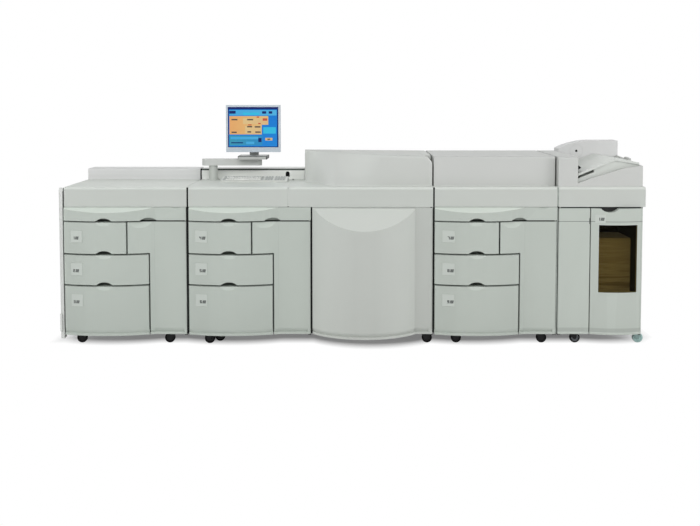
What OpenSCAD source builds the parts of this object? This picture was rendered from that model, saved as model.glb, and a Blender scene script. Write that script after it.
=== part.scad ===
// Digital production printer: a line of five docked modules.
// From left to right: paper supply, paper supply with operator station, marking engine,
// paper supply, and finisher with stacker and output tray.
// X runs to the right, Y to the back, Z up. The origin is on the floor, under the middle of the line.

/* [Modules] */
// Width of each of the three paper supplies
supply_w = 831; // [800:1:880]
// Width of the marking engine
engine_w = 820; // [790:1:880]
// Width of the finisher
finisher_w = 576; // [560:1:640]
// Depth of every module, from the flat front plane to the back
body_d = 800; // [760:5:900]
// Height of the underside of the frames above the floor
base_z = 97; // [90:1:110]
// Height of the worktops
desk_z = 1085; // [1070:1:1110]
// Thickness of the worktops
desk_t = 25; // [15:1:35]
// Thickness of the left end cover
side_cover_t = 33; // [20:1:50]
// Gap between the covers of neighbouring modules
joint_gap = 11; // [8:1:12]

/* [Fronts] */
// Height of the lower edge of doors and drawers
skirt_z = 90; // [86:1:94]
// Thickness of a door or drawer front where it is flat
panel_t = 20; // [16:1:24]
// Gap round each door and drawer front
panel_gap = 7; // [6:0.5:9]
// Gap between the fronts and the frame behind them
front_gap = 6; // [5:0.5:8]
// Height of the bottom drawer's front
bottom_drawer_h = 335; // [320:1:345]
// Height of the middle drawer's front
middle_drawer_h = 203; // [190:1:215]
// Height of the top drawer's front
top_drawer_h = 213; // [200:1:225]
// Width of the front of the middle and bottom drawers
drawer_w = 565; // [540:1:580]
// Width of the top drawer's front
top_drawer_w = 425; // [400:1:450]
// Height of the fixed strip above the drawers
trim_h = 88; // [80:1:95]
// Chord of the bow in a supply's front, centred on the wide drawers
bow_w = 650; // [610:1:680]
// How far a supply's front stands forward at the middle of its bow
bow_rise = 62; // [45:1:75]
// How far the strip's sloped top drops from the flat plane to the bow
trim_drop = 32; // [20:1:45]
// Height of the plain lip under the kick groove
kick_lip = 15; // [12:1:20]
// Height of the kick groove
kick_h = 30; // [20:1:36]
// Depth of the kick groove
kick_d = 12; // [6:1:14]

/* [Engine] */
// Flat margin between the engine door's left edge and the start of its bow
belly_margin = 5; // [4:1:12]
// Width of the bowed part of the engine's door
belly_w = 690; // [670:1:720]
// How far the engine's door stands forward at the middle
belly_rise = 165; // [120:1:190]
// How far the door's sloped top drops from the flat plane to the belly
belly_drop = 138; // [100:1:160]
// Thickness of the engine door where it is flat
door_t = 24; // [20:1:30]
// How far the engine's fascia reaches over the supply on its left
fascia_reach = 155; // [120:1:180]
// How far the engine's upper cabinet reaches over the supply on its left
cabinet_reach = 63; // [20:1:80]
// Height of the engine's upper cabinet at its left end
cabinet_left_z = 1312; // [1290:1:1330]
// Height of the upper cabinets at the front
cabinet_z = 1286; // [1240:1:1300]
// Set-back of the upper cabinets from the front plane
cabinet_setback = 85; // [60:1:110]
// Set-back of the engine's upper cabinet at its left end
cabinet_left_setback = 435; // [380:5:500]

/* [Finisher] */
// Width of the narrow door's front
narrow_door_w = 210; // [190:1:230]
// How far the stacker door stands forward at its middle
stacker_rise = 30; // [15:1:40]
// Lower edge of the window above the floor
window_z = 377; // [340:1:400]
// Height of the window
window_h = 455; // [400:1:480]
// Width of the window
window_w = 258; // [230:1:280]
// Height of the paper stack
stack_h = 392; // [100:1:410]
// Height of the arched rear cover
arch_z = 1367; // [1340:1:1390]
// Width of the column that the sheets come out of
column_w = 130; // [110:1:150]
// Depth of the arched rear cover
arch_d = 150; // [120:1:180]
// Slope of the output tray in degrees
tray_slope = 22; // [18:0.5:24]
// Height of the output tray at its lower end
tray_z = 1170; // [1150:1:1175]

/* [Drawers] */
// Length of a drawer's tray behind its front
tray_l = 520; // [450:1:560]
// Thickness of tray walls
tray_t = 10; // [6:1:14]
// Height of the bottom drawer's tray
bottom_tray_h = 230; // [150:1:260]
// Height of the two upper trays
upper_tray_h = 120; // [80:1:135]
// How far a cavity's edge lies inside its drawer front
frame_lip = 20; // [16:1:24]
// Height and width of the runner ledges in the frames
runner = 10; // [8:1:12]
// Width of a finger scoop at the front face
scoop_w = 147; // [100:1:160]
// Height of a finger scoop below the front's upper edge
scoop_h = 30; // [20:1:45]
// Depth of a finger scoop
scoop_d = 26; // [10:1:34]
// Width of the arched notch over a finger scoop
notch_w = 107; // [80:1:130]
// Height of the arched notch
notch_h = 20; // [14:1:26]
// Width and height of the plate for a drawer's number
label_w = 80; // [60:1:90]

/* [Station] */
// Height of the monitor's housing
monitor_h = 339; // [300:1:360]
// Width of the monitor's housing
monitor_w = 391; // [360:1:420]
// Thickness of the monitor's housing
monitor_t = 46; // [36:1:60]
// Height of the monitor's lower edge
monitor_z = 1289; // [1280:1:1310]
// Height of the arm's upper side
arm_z = 1240; // [1215:1:1250]
// Thickness of the arm
arm_t = 48; // [40:1:56]
// Distance of the monitor from the arm's post
arm_reach = 293; // [240:1:340]
// Set-back of the station's post from the front plane
station_y = 555; // [500:1:570]
// Width of the keyboard
keyboard_w = 470; // [420:1:480]
// Depth of the keyboard
keyboard_d = 160; // [130:1:180]

/* [Running gear] */
// Diameter of a caster wheel
wheel_d = 70; // [60:1:76]
// Width of a caster wheel
wheel_w = 30; // [22:1:34]
// Distance of a caster's axle from its swivel
caster_trail = 34; // [20:1:38]
// Diameter of the axles
axle_d = 10; // [8:1:12]
// Diameter of the hinge pins
pin_d = 8; // [6:1:10]
// Clearance between parts that turn or slide on each other
fit = 0.3; // [0.2:0.05:0.5]

/* [Hidden] */
$fn = 96;

// colours
body_grey = [0.72, 0.74, 0.72];
light_grey = [0.80, 0.81, 0.79];
dark_grey = [0.25, 0.26, 0.27];
frame_grey = [0.55, 0.56, 0.56];
black = [0.08, 0.08, 0.08];

// the line, from left to right
cap_overhang = 10;
wheel_overhang = 35;
line_w = side_cover_t + 3 * supply_w + engine_w + finisher_w + cap_overhang + wheel_overhang;
supply_1_x = side_cover_t - line_w / 2;
supply_2_x = supply_1_x + supply_w;
engine_x = supply_2_x + supply_w;
supply_3_x = engine_x + engine_w;
finisher_x = supply_3_x + supply_w;
front_y = (belly_rise - body_d) / 2;

// heights of the rows on a supply's front
edge = joint_gap / 2;
bow_mid = edge + drawer_w / 2;
belly_mid = edge + belly_margin + belly_w / 2;
middle_z = skirt_z + bottom_drawer_h + panel_gap;
top_z = middle_z + middle_drawer_h + panel_gap;
trim_z = top_z + top_drawer_h + panel_gap;
trim_top = trim_z + trim_h;
apron_z = trim_top + 2;
frame_top = desk_z - desk_t;
frame_y = panel_t + front_gap;
rear_t = 10;
frame_d = body_d - rear_t - frame_y;
right_edge = supply_w - edge;

// runners and trays
tray_side_gap = 8;
ledge_w = 16;

// hinges
lug_t = 5;
lug_gap = 1;
pin_l = 18;
hinge_in = panel_t / 2;

function bow_r(w, rise) = (w * w / 4 + rise * rise) / (2 * rise);

// distance that a bow stands forward at x, measured from the bow's middle
function bow_at(x, w, rise) = sqrt(pow(bow_r(w, rise), 2) - x * x) - (bow_r(w, rise) - rise);

module place(x) {
    translate([x, front_y, 0]) children();
}

// ---------------------------------------------------------------- fronts

// Plan of a front: flat on y = 0 with a bow whose middle is at x = mid, and a flat back at y = t
module front_plan(x0, x1, mid, w, rise, t) {
    intersection() {
        translate([x0, -rise - 1]) square([x1 - x0, rise + 1 + t]);
        union() {
            translate([x0 - 1, 0]) square([x1 - x0 + 2, t]);
            intersection() {
                translate([mid, bow_r(w, rise) - rise]) circle(r = bow_r(w, rise), $fn = 360);
                translate([mid - w / 2 - 1, -rise - 1]) square([w + 2, rise + 1]);
            }
        }
    }
}

module front_block(x0, x1, z0, h, mid, w, rise, t) {
    translate([0, 0, z0]) linear_extrude(h) front_plan(x0, x1, mid, w, rise, t);
}

// Takes the upper front edge of a bow off along a plane that starts on y = 0 at height z
module slope_cut(x0, x1, z, rise, drop) {
    run = rise + 5;
    translate([x0 - 1, 0, 0]) rotate([90, 0, 90]) linear_extrude(x1 - x0 + 2)
        polygon([[0, z + 1], [0, z], [-run, z - drop * run / rise], [-run, z + 1]]);
}

// Groove along the foot of a front, over a plain lip: its roof leans in going down, as a plane
// behind the flat part of the front and as a cone about the bow's own axis
module kick_cut(x0, x1, z, mid, w, rise) {
    r = bow_r(w, rise);
    over = 2;
    lean = kick_d / kick_h;
    top = kick_h + over / lean;
    difference() {
        translate([x0, 0, z + kick_lip]) rotate([90, 0, 90]) linear_extrude(x1 - x0)
            polygon([[-rise - 5, 0], [kick_d, 0], [-over, top], [-rise - 5, top]]);
        translate([mid, r - rise, z + kick_lip - over])
            cylinder(r1 = r - kick_d - over * lean, r2 = r + 2 * over,
                     h = top + over + over / lean, $fn = 360);
    }
}

// Hollow for the fingers, a ball's cap sunk into the upper edge of a front that stands at y = face
module scoop_cut(x, z, face, w, h, d) {
    half = w / 2;
    rim = (half * half + h * h) / (2 * h);
    ball = (rim * rim + d * d) / (2 * d);
    translate([x, face + d - ball, z - h + rim]) sphere(r = ball, $fn = 128);
}

// Arched notch in the lower edge of a front
module notch_cut(x, z, front, back) {
    r = (notch_w * notch_w / 4 + notch_h * notch_h) / (2 * notch_h);
    translate([x, back, z + notch_h - r]) rotate([90, 0, 0]) cylinder(r = r, h = back - front, $fn = 180);
}

// Raised plate for the drawer's number
module label_plate(x, z) {
    proud = 1.5;
    intersection() {
        translate([bow_mid, bow_r(bow_w, bow_rise) - bow_rise, z])
            cylinder(r = bow_r(bow_w, bow_rise) + proud, h = label_w, $fn = 360);
        translate([x, -bow_rise - 5, z]) cube([label_w, bow_rise + 5, label_w]);
    }
}

// ---------------------------------------------------------------- supplies

function row_w(row) = row == "top" ? top_drawer_w : drawer_w;
function row_z(row) = row == "top" ? top_z : row == "middle" ? middle_z : skirt_z;
function row_h(row) = row == "top" ? top_drawer_h : row == "middle" ? middle_drawer_h : bottom_drawer_h;
function tray_h(row) = row == "bottom" ? bottom_tray_h : upper_tray_h;
function cavity_z(row) = row_z(row) + frame_lip;
function cavity_h(row) = row_h(row) - 2 * frame_lip;
cavity_x = edge + frame_lip;
function cavity_w(row) = row_w(row) - 2 * frame_lip;
cavity_d = tray_l + panel_t - frame_y + 20;

module supply_frame() {
    color(frame_grey) {
        difference() {
            translate([0, frame_y, base_z]) cube([supply_w, frame_d, frame_top - base_z]);
            for (row = ["bottom", "middle", "top"])
                translate([cavity_x, frame_y - 1, cavity_z(row)])
                    cube([cavity_w(row), cavity_d + 1, cavity_h(row)]);
            // shallow bay behind the transport door
            translate([edge + drawer_w + panel_gap + 12, frame_y - 1, skirt_z + 40])
                cube([right_edge - edge - drawer_w - panel_gap - 34, 61, trim_z - skirt_z - 70]);
        }
        for (row = ["bottom", "middle", "top"]) {
            for (x = [cavity_x, cavity_x + cavity_w(row) - ledge_w])
                translate([x, frame_y, cavity_z(row)]) cube([ledge_w, cavity_d, runner]);
        }
        hinge_lug(right_edge - hinge_in);
    }
}

// Lower hinge lug of a door: a plate under the door with a pin that stands up into it
module hinge_lug(x) {
    top = skirt_z - lug_gap;
    translate([x - 10, hinge_in - 8, top - lug_t]) cube([20, frame_y + 20 - hinge_in + 8, lug_t]);
    translate([x - 10, frame_y + 4, top - lug_t]) cube([20, 16, base_z - top + lug_t]);
    translate([x, hinge_in, top - 1]) cylinder(d = pin_d, h = pin_l + 1);
}

scoop_drawer_x = 282;
scoop_door_x = 570;
scoop_face = -bow_at(scoop_drawer_x - bow_mid, bow_w, bow_rise);
scoop_door_face = -bow_at(scoop_door_x - bow_mid, bow_w, bow_rise);
label_in = 50;
label_top = 56;

// The fixed strip; a shallow scoop at x = grip_x lets the fingers under the worktop's edge
module supply_trim(grip_x, grip_w) {
    grip_h = 18;
    color(body_grey) {
        difference() {
            front_block(edge, right_edge, trim_z, trim_h, bow_mid, bow_w, bow_rise, frame_y);
            slope_cut(0, supply_w, trim_top, bow_rise, trim_drop);
            scoop_cut(grip_x, trim_top, 0, grip_w, grip_h, grip_h);
            for (x = [scoop_drawer_x, scoop_door_x])
                notch_cut(x, trim_z, -bow_rise - 5, frame_y - 4);
        }
        translate([right_edge - hinge_in, hinge_in, trim_z - panel_gap - pin_l])
            cylinder(d = pin_d, h = panel_gap + pin_l + 1);
    }
}

module supply_door() {
    lower_x = edge + drawer_w + panel_gap;
    upper_x = edge + top_drawer_w + panel_gap;
    hinge_x = right_edge - hinge_in;
    h = trim_z - panel_gap - skirt_z;
    color(body_grey) difference() {
        union() {
            front_block(lower_x, hinge_x, skirt_z, h, bow_mid, bow_w, bow_rise, panel_t);
            front_block(upper_x, lower_x + 1, top_z, top_drawer_h, bow_mid, bow_w, bow_rise, panel_t);
            translate([hinge_x, hinge_in, skirt_z]) cylinder(r = hinge_in, h = h);
        }
        kick_cut(lower_x - 1, hinge_x - hinge_in - 2, skirt_z, bow_mid, bow_w, bow_rise);
        scoop_cut(scoop_door_x, trim_z - panel_gap, scoop_door_face, scoop_w, scoop_h, scoop_d);
        for (z = [skirt_z - 1, trim_z - panel_gap - pin_l - 1])
            translate([hinge_x, hinge_in, z]) cylinder(d = pin_d + 2 * fit, h = pin_l + 2);
    }
}

module supply_drawer(row) {
    z = row_z(row);
    w = row_w(row);
    h = row_h(row);
    floor_z = cavity_z(row) + runner + fit;
    tray_x = cavity_x + tray_side_gap;
    tray_w = cavity_w(row) - 2 * tray_side_gap;
    color(body_grey) difference() {
        union() {
            front_block(edge, edge + w, z, h, bow_mid, bow_w, bow_rise, panel_t);
            label_plate(edge + label_in, z + h - label_top - label_w);
        }
        scoop_cut(scoop_drawer_x, z + h, scoop_face, scoop_w, scoop_h, scoop_d);
        if (row == "bottom")
            kick_cut(edge - 1, edge + w + 1, z, bow_mid, bow_w, bow_rise);
        else
            notch_cut(scoop_drawer_x, z, -bow_rise - 5, panel_t - 4);
    }
    color(dark_grey) difference() {
        translate([tray_x, panel_t, floor_z]) cube([tray_w, tray_l, tray_h(row)]);
        translate([tray_x + tray_t, panel_t + tray_t, floor_z + tray_t])
            cube([tray_w - 2 * tray_t, tray_l - 2 * tray_t, tray_h(row)]);
    }
}

// ---------------------------------------------------------------- covers

// Side view of a worktop with its apron: y runs back, z up, with a rounded upper front edge
module cover_profile(depth, apron_t) {
    r = 20;
    difference() {
        union() {
            translate([0, apron_z]) square([depth, desk_z - r - apron_z]);
            translate([r, desk_z - r - 1]) square([depth - r, r + 1]);
            intersection() {
                translate([r, desk_z - r]) circle(r = r);
                translate([0, desk_z - r]) square([r, r]);
            }
        }
        translate([apron_t, apron_z - 1]) square([depth, desk_z - desk_t - apron_z + 1]);
    }
}

module cover(x0, x1, depth) {
    translate([x0, 0, 0]) rotate([90, 0, 90]) linear_extrude(x1 - x0) cover_profile(depth, frame_y - 2);
}

rear_cover_y = 617;
rear_cover_z = 1148;

module rear_cover(x1) {
    r = 14;
    color(light_grey) translate([edge, 0, 0]) rotate([90, 0, 90]) linear_extrude(x1 - edge) union() {
        translate([rear_cover_y, desk_z]) square([body_d - rear_cover_y, rear_cover_z - r - desk_z]);
        translate([rear_cover_y + r, rear_cover_z - r - 1]) square([body_d - rear_cover_y - r, r + 1]);
        intersection() {
            translate([rear_cover_y + r, rear_cover_z - r]) circle(r = r);
            translate([rear_cover_y, rear_cover_z - r]) square([r, r]);
        }
    }
}

// The rear cover beside the station has an upright oval recess for a cable grommet
module station_rear_cover() {
    oval_x = 633;
    oval_z = 1119;
    oval_w = 29;
    oval_h = 46;
    difference() {
        rear_cover(supply_w - cabinet_reach - joint_gap);
        translate([oval_x, rear_cover_y + 6, oval_z]) rotate([90, 0, 0]) linear_extrude(12) union() {
            for (side = [-1, 1])
                translate([0, side * (oval_h - oval_w) / 2]) circle(d = oval_w);
            translate([-oval_w / 2, -(oval_h - oval_w) / 2]) square([oval_w, oval_h - oval_w]);
        }
    }
}

module supply_cover() {
    color(light_grey) cover(edge, supply_w - edge, body_d);
}

module supply_cabinet() {
    r = 16;
    color(light_grey) translate([edge, 0, 0]) rotate([90, 0, 90]) linear_extrude(supply_w - 2 * edge) union() {
        translate([cabinet_setback, desk_z]) square([body_d - cabinet_setback, cabinet_z - r - desk_z]);
        translate([cabinet_setback + r, cabinet_z - r - 1]) square([body_d - cabinet_setback - r, r + 1]);
        intersection() {
            translate([cabinet_setback + r, cabinet_z - r]) circle(r = r);
            translate([cabinet_setback, cabinet_z - r]) square([r, r]);
        }
    }
}

// ---------------------------------------------------------------- engine

engine_hinge_x = engine_w - edge - door_t / 2;
engine_door_top = apron_z - panel_gap;

module engine_frame() {
    color(frame_grey) difference() {
        translate([0, door_t + front_gap, base_z])
            cube([engine_w, body_d - rear_t - door_t - front_gap, frame_top - base_z]);
        // shallow bay behind the door
        translate([30, door_t + front_gap - 1, skirt_z + 60])
            cube([engine_w - 60, 71, engine_door_top - skirt_z - 120]);
    }
    color(frame_grey) {
        top = skirt_z - lug_gap;
        translate([engine_hinge_x - 12, 2, top - lug_t]) cube([24, door_t + front_gap + 20, lug_t]);
        translate([engine_hinge_x - 12, door_t + front_gap + 4, top - lug_t])
            cube([24, 18, base_z - top + lug_t]);
        translate([engine_hinge_x, door_t / 2, top - 1]) cylinder(d = pin_d, h = pin_l + 1);
    }
}

module engine_door() {
    h = engine_door_top - skirt_z;
    color(body_grey) difference() {
        union() {
            front_block(edge, engine_hinge_x, skirt_z, h, belly_mid, belly_w, belly_rise, door_t);
            translate([engine_hinge_x, door_t / 2, skirt_z]) cylinder(d = door_t, h = h);
        }
        slope_cut(0, engine_w, engine_door_top, belly_rise, belly_drop);
        kick_cut(edge - 1, engine_hinge_x - door_t / 2 - 2, skirt_z, belly_mid, belly_w, belly_rise);
        for (z = [skirt_z - 1, engine_door_top - pin_l - 1])
            translate([engine_hinge_x, door_t / 2, z]) cylinder(d = pin_d + 2 * fit, h = pin_l + 2);
    }
}

module engine_cover() {
    color(light_grey) {
        cover(-fascia_reach + edge, engine_w - edge, body_d);
        translate([engine_hinge_x, door_t / 2, engine_door_top - pin_l])
            cylinder(d = pin_d, h = panel_gap + pin_l + 1);
        translate([engine_hinge_x, door_t / 2, engine_door_top + 1]) cylinder(d = 20, h = panel_gap);
    }
}

// The upper cabinet: its left end is set back, and its front sweeps forward to the right,
// early along the worktop and late along the roof
cabinet_x0 = -cabinet_reach;
cabinet_x1 = engine_w - edge;
foot_sweep = 232;
roof_sweep = 568;
cabinet_steps = 44;

function ease(t) = (1 - cos(180 * min(1, max(0, t)))) / 2;
function swept_y(x, sweep) = cabinet_left_setback
    - (cabinet_left_setback - cabinet_setback) * ease((x - cabinet_x0) / sweep);
function roof_at(x) =
    cabinet_left_z - (cabinet_left_z - cabinet_z) * (x - cabinet_x0) / (cabinet_x1 - cabinet_x0);
function step_x(i) =
    i == cabinet_steps ? cabinet_x1 : cabinet_x0 + i * (roof_sweep + 12) / (cabinet_steps - 1);

module engine_cabinet() {
    n = cabinet_steps;
    foot = [for (i = [0 : n]) [step_x(i), swept_y(step_x(i), foot_sweep), desk_z]];
    roof = [for (i = [0 : n]) [step_x(i), swept_y(step_x(i), roof_sweep), roof_at(step_x(i))]];
    back = [
        [cabinet_x0, body_d, desk_z], [cabinet_x0, body_d, cabinet_left_z],
        [cabinet_x1, body_d, desk_z], [cabinet_x1, body_d, cabinet_z]];
    b = 2 * n + 2;
    corner_w = 67;
    corner_h = 44;
    corner_r = (corner_w * corner_w + corner_h * corner_h) / (2 * corner_h);
    color(light_grey) difference() {
        polyhedron(points = concat(foot, roof, back), faces = concat(
            [[0, b, b + 1, n + 1], [b + 3, b + 2, n, 2 * n + 1], [b, b + 2, b + 3, b + 1]],
            [concat([b], [for (i = [0 : n]) i], [b + 2])],
            [concat([b + 1, b + 3], [for (i = [n : -1 : 0]) n + 1 + i])],
            [for (i = [0 : n - 1]) [i, n + 1 + i, n + 2 + i]],
            [for (i = [0 : n - 1]) [i, n + 2 + i, i + 1]]));
        // rounded shoulder at the right end of the front
        translate([cabinet_x1 - corner_w, 0, 0]) rotate([90, 0, 0]) translate([0, 0, -cabinet_setback - 150])
            linear_extrude(152 + cabinet_setback) difference() {
                translate([6, cabinet_z - corner_h - 2]) square([corner_w, corner_h + 30]);
                translate([0, cabinet_z + 3 - corner_r]) circle(r = corner_r, $fn = 180);
            }
    }
}

// ---------------------------------------------------------------- finisher

stacker_x = edge + narrow_door_w + panel_gap;
finisher_right = finisher_w - edge;
stacker_w = finisher_right - stacker_x;
finisher_door_top = apron_z - panel_gap;
window_x = stacker_x + 50;
// stacking chamber behind the window
chamber_in = 14;
chamber_z = 290;
chamber_d = 520;
platform_z = 320;

module finisher_frame() {
    color(frame_grey) {
        difference() {
            translate([0, frame_y, base_z]) cube([finisher_w, frame_d, frame_top - base_z]);
            // chamber of the stacker
            translate([stacker_x + chamber_in, frame_y - 1, chamber_z])
                cube([finisher_right - stacker_x - 2 * chamber_in, chamber_d + 1, finisher_door_top - 50 - chamber_z]);
        }
        hinge_lug(edge + hinge_in);
        hinge_lug(finisher_right - hinge_in);
    }
}

module finisher_cover() {
    color(light_grey) {
        cover(edge, finisher_w + cap_overhang, body_d);
        for (x = [edge + hinge_in, finisher_right - hinge_in])
            translate([x, hinge_in, finisher_door_top - pin_l])
                cylinder(d = pin_d, h = panel_gap + pin_l + 1);
    }
}

latch_z = 836;

module narrow_door() {
    h = finisher_door_top - skirt_z;
    color(body_grey) difference() {
        union() {
            translate([edge + hinge_in, 0, skirt_z]) cube([narrow_door_w - hinge_in, panel_t, h]);
            translate([edge + hinge_in, hinge_in, skirt_z]) cylinder(r = hinge_in, h = h);
        }
        for (z = [skirt_z - 1, finisher_door_top - pin_l - 1])
            translate([edge + hinge_in, hinge_in, z]) cylinder(d = pin_d + 2 * fit, h = pin_l + 2);
        // latch recess in the free edge
        translate([edge + narrow_door_w - 6, -1, latch_z]) cube([7, panel_t - 5, 40]);
    }
}

module stacker_bow(r_in, t0) {
    r = bow_r(stacker_w, stacker_rise);
    intersection() {
        translate([stacker_x + stacker_w / 2, r - stacker_rise]) circle(r = r - r_in, $fn = 360);
        translate([stacker_x, -stacker_rise - 1]) square([stacker_w, stacker_rise + 1 + t0]);
    }
}

module stacker_door() {
    h = finisher_door_top - skirt_z;
    hinge_x = finisher_right - hinge_in;
    grip_w = 124;
    grip_h = 29;
    grip_r = (grip_w * grip_w / 4 + grip_h * grip_h) / (2 * grip_h);
    color(body_grey) difference() {
        union() {
            translate([0, 0, skirt_z]) linear_extrude(h) union() {
                intersection() {
                    stacker_bow(0, 0);
                    translate([stacker_x, -100]) square([stacker_w - hinge_in - 6, 100]);
                }
                translate([stacker_x, 0]) square([stacker_w - hinge_in, panel_t]);
            }
            translate([hinge_x, hinge_in, skirt_z]) cylinder(r = hinge_in, h = h);
        }
        translate([window_x, -stacker_rise - 1, window_z])
            cube([window_w, stacker_rise + panel_t + 2, window_h]);
        translate([stacker_x + 122, -stacker_rise - 1, finisher_door_top - grip_h + grip_r])
            rotate([-90, 0, 0]) cylinder(r = grip_r, h = stacker_rise + panel_t + 2);
        for (z = [skirt_z - 1, finisher_door_top - pin_l - 1])
            translate([hinge_x, hinge_in, z]) cylinder(d = pin_d + 2 * fit, h = pin_l + 2);
    }
}

module stacker_window() {
    color([0.10, 0.08, 0.05, 0.6]) translate([0, 0, window_z]) linear_extrude(window_h) intersection() {
        difference() {
            stacker_bow(4, panel_t);
            stacker_bow(10, panel_t);
        }
        translate([window_x, -stacker_rise - 1]) square([window_w, stacker_rise + 1 + 8]);
    }
}

module stacker_platform() {
    color(dark_grey) translate([stacker_x + chamber_in, frame_y + 40, platform_z])
        cube([finisher_right - stacker_x - 2 * chamber_in, chamber_d - 100, 12]);
}

module paper_stack() {
    color([0.9, 0.85, 0.7]) translate([306, frame_y + 90, platform_z + 12]) cube([216, 300, stack_h]);
}

upper_y = 20;
arch_y = body_d - arch_d;

module exit_column() {
    r = 16;
    color(light_grey) translate([edge, 0, 0]) rotate([90, 0, 90]) linear_extrude(column_w) union() {
        translate([upper_y, desk_z]) square([body_d - upper_y, cabinet_z - r - desk_z]);
        translate([upper_y + r, cabinet_z - r - 1]) square([body_d - upper_y - r, r + 1]);
        intersection() {
            translate([upper_y + r, cabinet_z - r]) circle(r = r);
            translate([upper_y, cabinet_z - r]) square([r, r]);
        }
    }
}

wall_t = 18;
tray_x0 = edge + column_w;

module tray_housing() {
    x1 = finisher_right;
    y0 = upper_y + wall_t - 1;
    color(light_grey) {
        // front wall with a rising upper edge
        translate([0, upper_y + wall_t, 0]) rotate([90, 0, 0]) linear_extrude(wall_t)
            polygon([[tray_x0, desk_z], [x1, desk_z], [x1, 1226], [458, 1214], [215, 1140], [tray_x0, 1108]]);
        // right wall, its upper edge rising to the back, with a low latch on it
        translate([x1 - wall_t, 0, 0]) rotate([90, 0, 90]) linear_extrude(wall_t)
            polygon([[y0, desk_z], [arch_y, desk_z], [arch_y, 1258], [422, 1248], [285, 1241], [y0, 1226]]);
        translate([x1 - wall_t, 0, 0]) rotate([90, 0, 90]) linear_extrude(wall_t)
            polygon([[300, 1236], [424, 1242], [424, 1258], [400, 1264], [310, 1258], [300, 1250]]);
    }
}

// A sloping plate on a set-back body, so that a dark gap runs under the plate's front edge
module output_tray() {
    crest_x = 392;
    plate_t = 14;
    fall = 26;
    x0 = tray_x0 + 3;
    x1 = finisher_right - wall_t - 1;
    crest_z = tray_z + (crest_x - x0) * tan(tray_slope);
    foot_x = x0 + 40;
    foot_z = tray_z + 40 * tan(tray_slope);
    // dark slot under the lower end of the plate
    slot_x = x0 + 112;
    slot_z = tray_z + 112 * tan(tray_slope);
    slot_h = 20;
    slot_d = 70;
    front = upper_y + wall_t + 6;
    depth = arch_y - 4 - front;
    color(light_grey) translate([0, arch_y - 4, 0]) rotate([90, 0, 0]) {
        linear_extrude(depth) polygon([
            [x0, tray_z - plate_t], [crest_x, crest_z - plate_t], [x1, crest_z - fall - plate_t],
            [x1, crest_z - fall], [crest_x, crest_z], [x0, tray_z]]);
        linear_extrude(depth - slot_d) polygon([
            [foot_x, desk_z], [x1, desk_z], [x1, crest_z - fall - plate_t / 2],
            [crest_x, crest_z - plate_t / 2], [foot_x, foot_z - plate_t / 2]]);
        linear_extrude(depth - 8) polygon([
            [x0, desk_z], [x1, desk_z], [x1, crest_z - fall - plate_t / 2], [crest_x, crest_z - plate_t / 2],
            [slot_x, slot_z - plate_t / 2], [slot_x, slot_z - plate_t - slot_h], [x0, tray_z - plate_t - slot_h]]);
    }
}

// Its roof rises in an arc and runs on level; a round cap with a hole sits in its front
module arched_cover() {
    apex_x = 385;
    left_z = 1308;
    rise = arch_z - left_z;
    r = bow_r(2 * (apex_x - tray_x0), rise);
    cap_x = 268;
    cap_z = 1291;
    color(light_grey) difference() {
        translate([0, body_d, 0]) rotate([90, 0, 0]) linear_extrude(arch_d) union() {
            intersection() {
                translate([tray_x0, desk_z]) square([apex_x - tray_x0, arch_z - desk_z + 1]);
                translate([apex_x, arch_z - r]) circle(r = r, $fn = 360);
            }
            translate([apex_x - 1, desk_z]) square([finisher_right - apex_x + 1, arch_z - 0.01 - desk_z]);
        }
        translate([cap_x, arch_y + 2, cap_z]) rotate([90, 0, 0]) difference() {
            cylinder(r = 50, h = 10);
            translate([0, 0, -1]) cylinder(r = 45, h = 12);
        }
        translate([cap_x, arch_y + 14, cap_z]) rotate([90, 0, 0]) cylinder(r = 9, h = 20);
    }
}

// ---------------------------------------------------------------- station

post_x = 99;
pivot_d = 24;
arm_w = 72;
neck_y = station_y + 44;
tilt_z = arm_z + 150;
tilt_pin_d = 12;
monitor_x = post_x + arm_reach;

module station_post() {
    color(light_grey) translate([post_x, station_y, desk_z]) {
        cylinder(d = 88, h = 8);
        cylinder(d = 62, h = arm_z - arm_t - desk_z - fit);
        cylinder(d = pivot_d, h = arm_z - 12 - desk_z);
    }
}

module station_arm() {
    half = arm_w / 2;
    left = 80 - half;
    right = arm_reach + 60 - half;
    color(light_grey) difference() {
        translate([post_x, station_y, arm_z - arm_t]) linear_extrude(arm_t) union() {
            translate([-left, -half]) square([left + right, arm_w]);
            translate([-left, 0]) circle(d = arm_w);
            translate([right, 0]) circle(d = arm_w);
        }
        translate([post_x, station_y, arm_z - arm_t - 1])
            cylinder(d = pivot_d + 2 * fit, h = arm_t + 1 - 12 + fit);
    }
    // pivot under the monitor's stand
    color(light_grey) translate([monitor_x, station_y, arm_z - 1]) cylinder(d = pivot_d, h = 13);
}

module monitor_stand() {
    color(light_grey) translate([monitor_x, 0, arm_z]) difference() {
        union() {
            translate([-104, station_y - 100, fit]) cube([208, 200, 24 - fit]);
            translate([-32, neck_y - 14, 23]) cube([64, 28, 141]);
            translate([-60, neck_y, 150]) rotate([0, 90, 0]) cylinder(d = 28, h = 120);
            translate([-76, neck_y, 150]) rotate([0, 90, 0]) cylinder(d = tilt_pin_d, h = 152);
        }
        translate([0, station_y, -1]) cylinder(d = pivot_d + 2 * fit, h = 14);
    }
}

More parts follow.
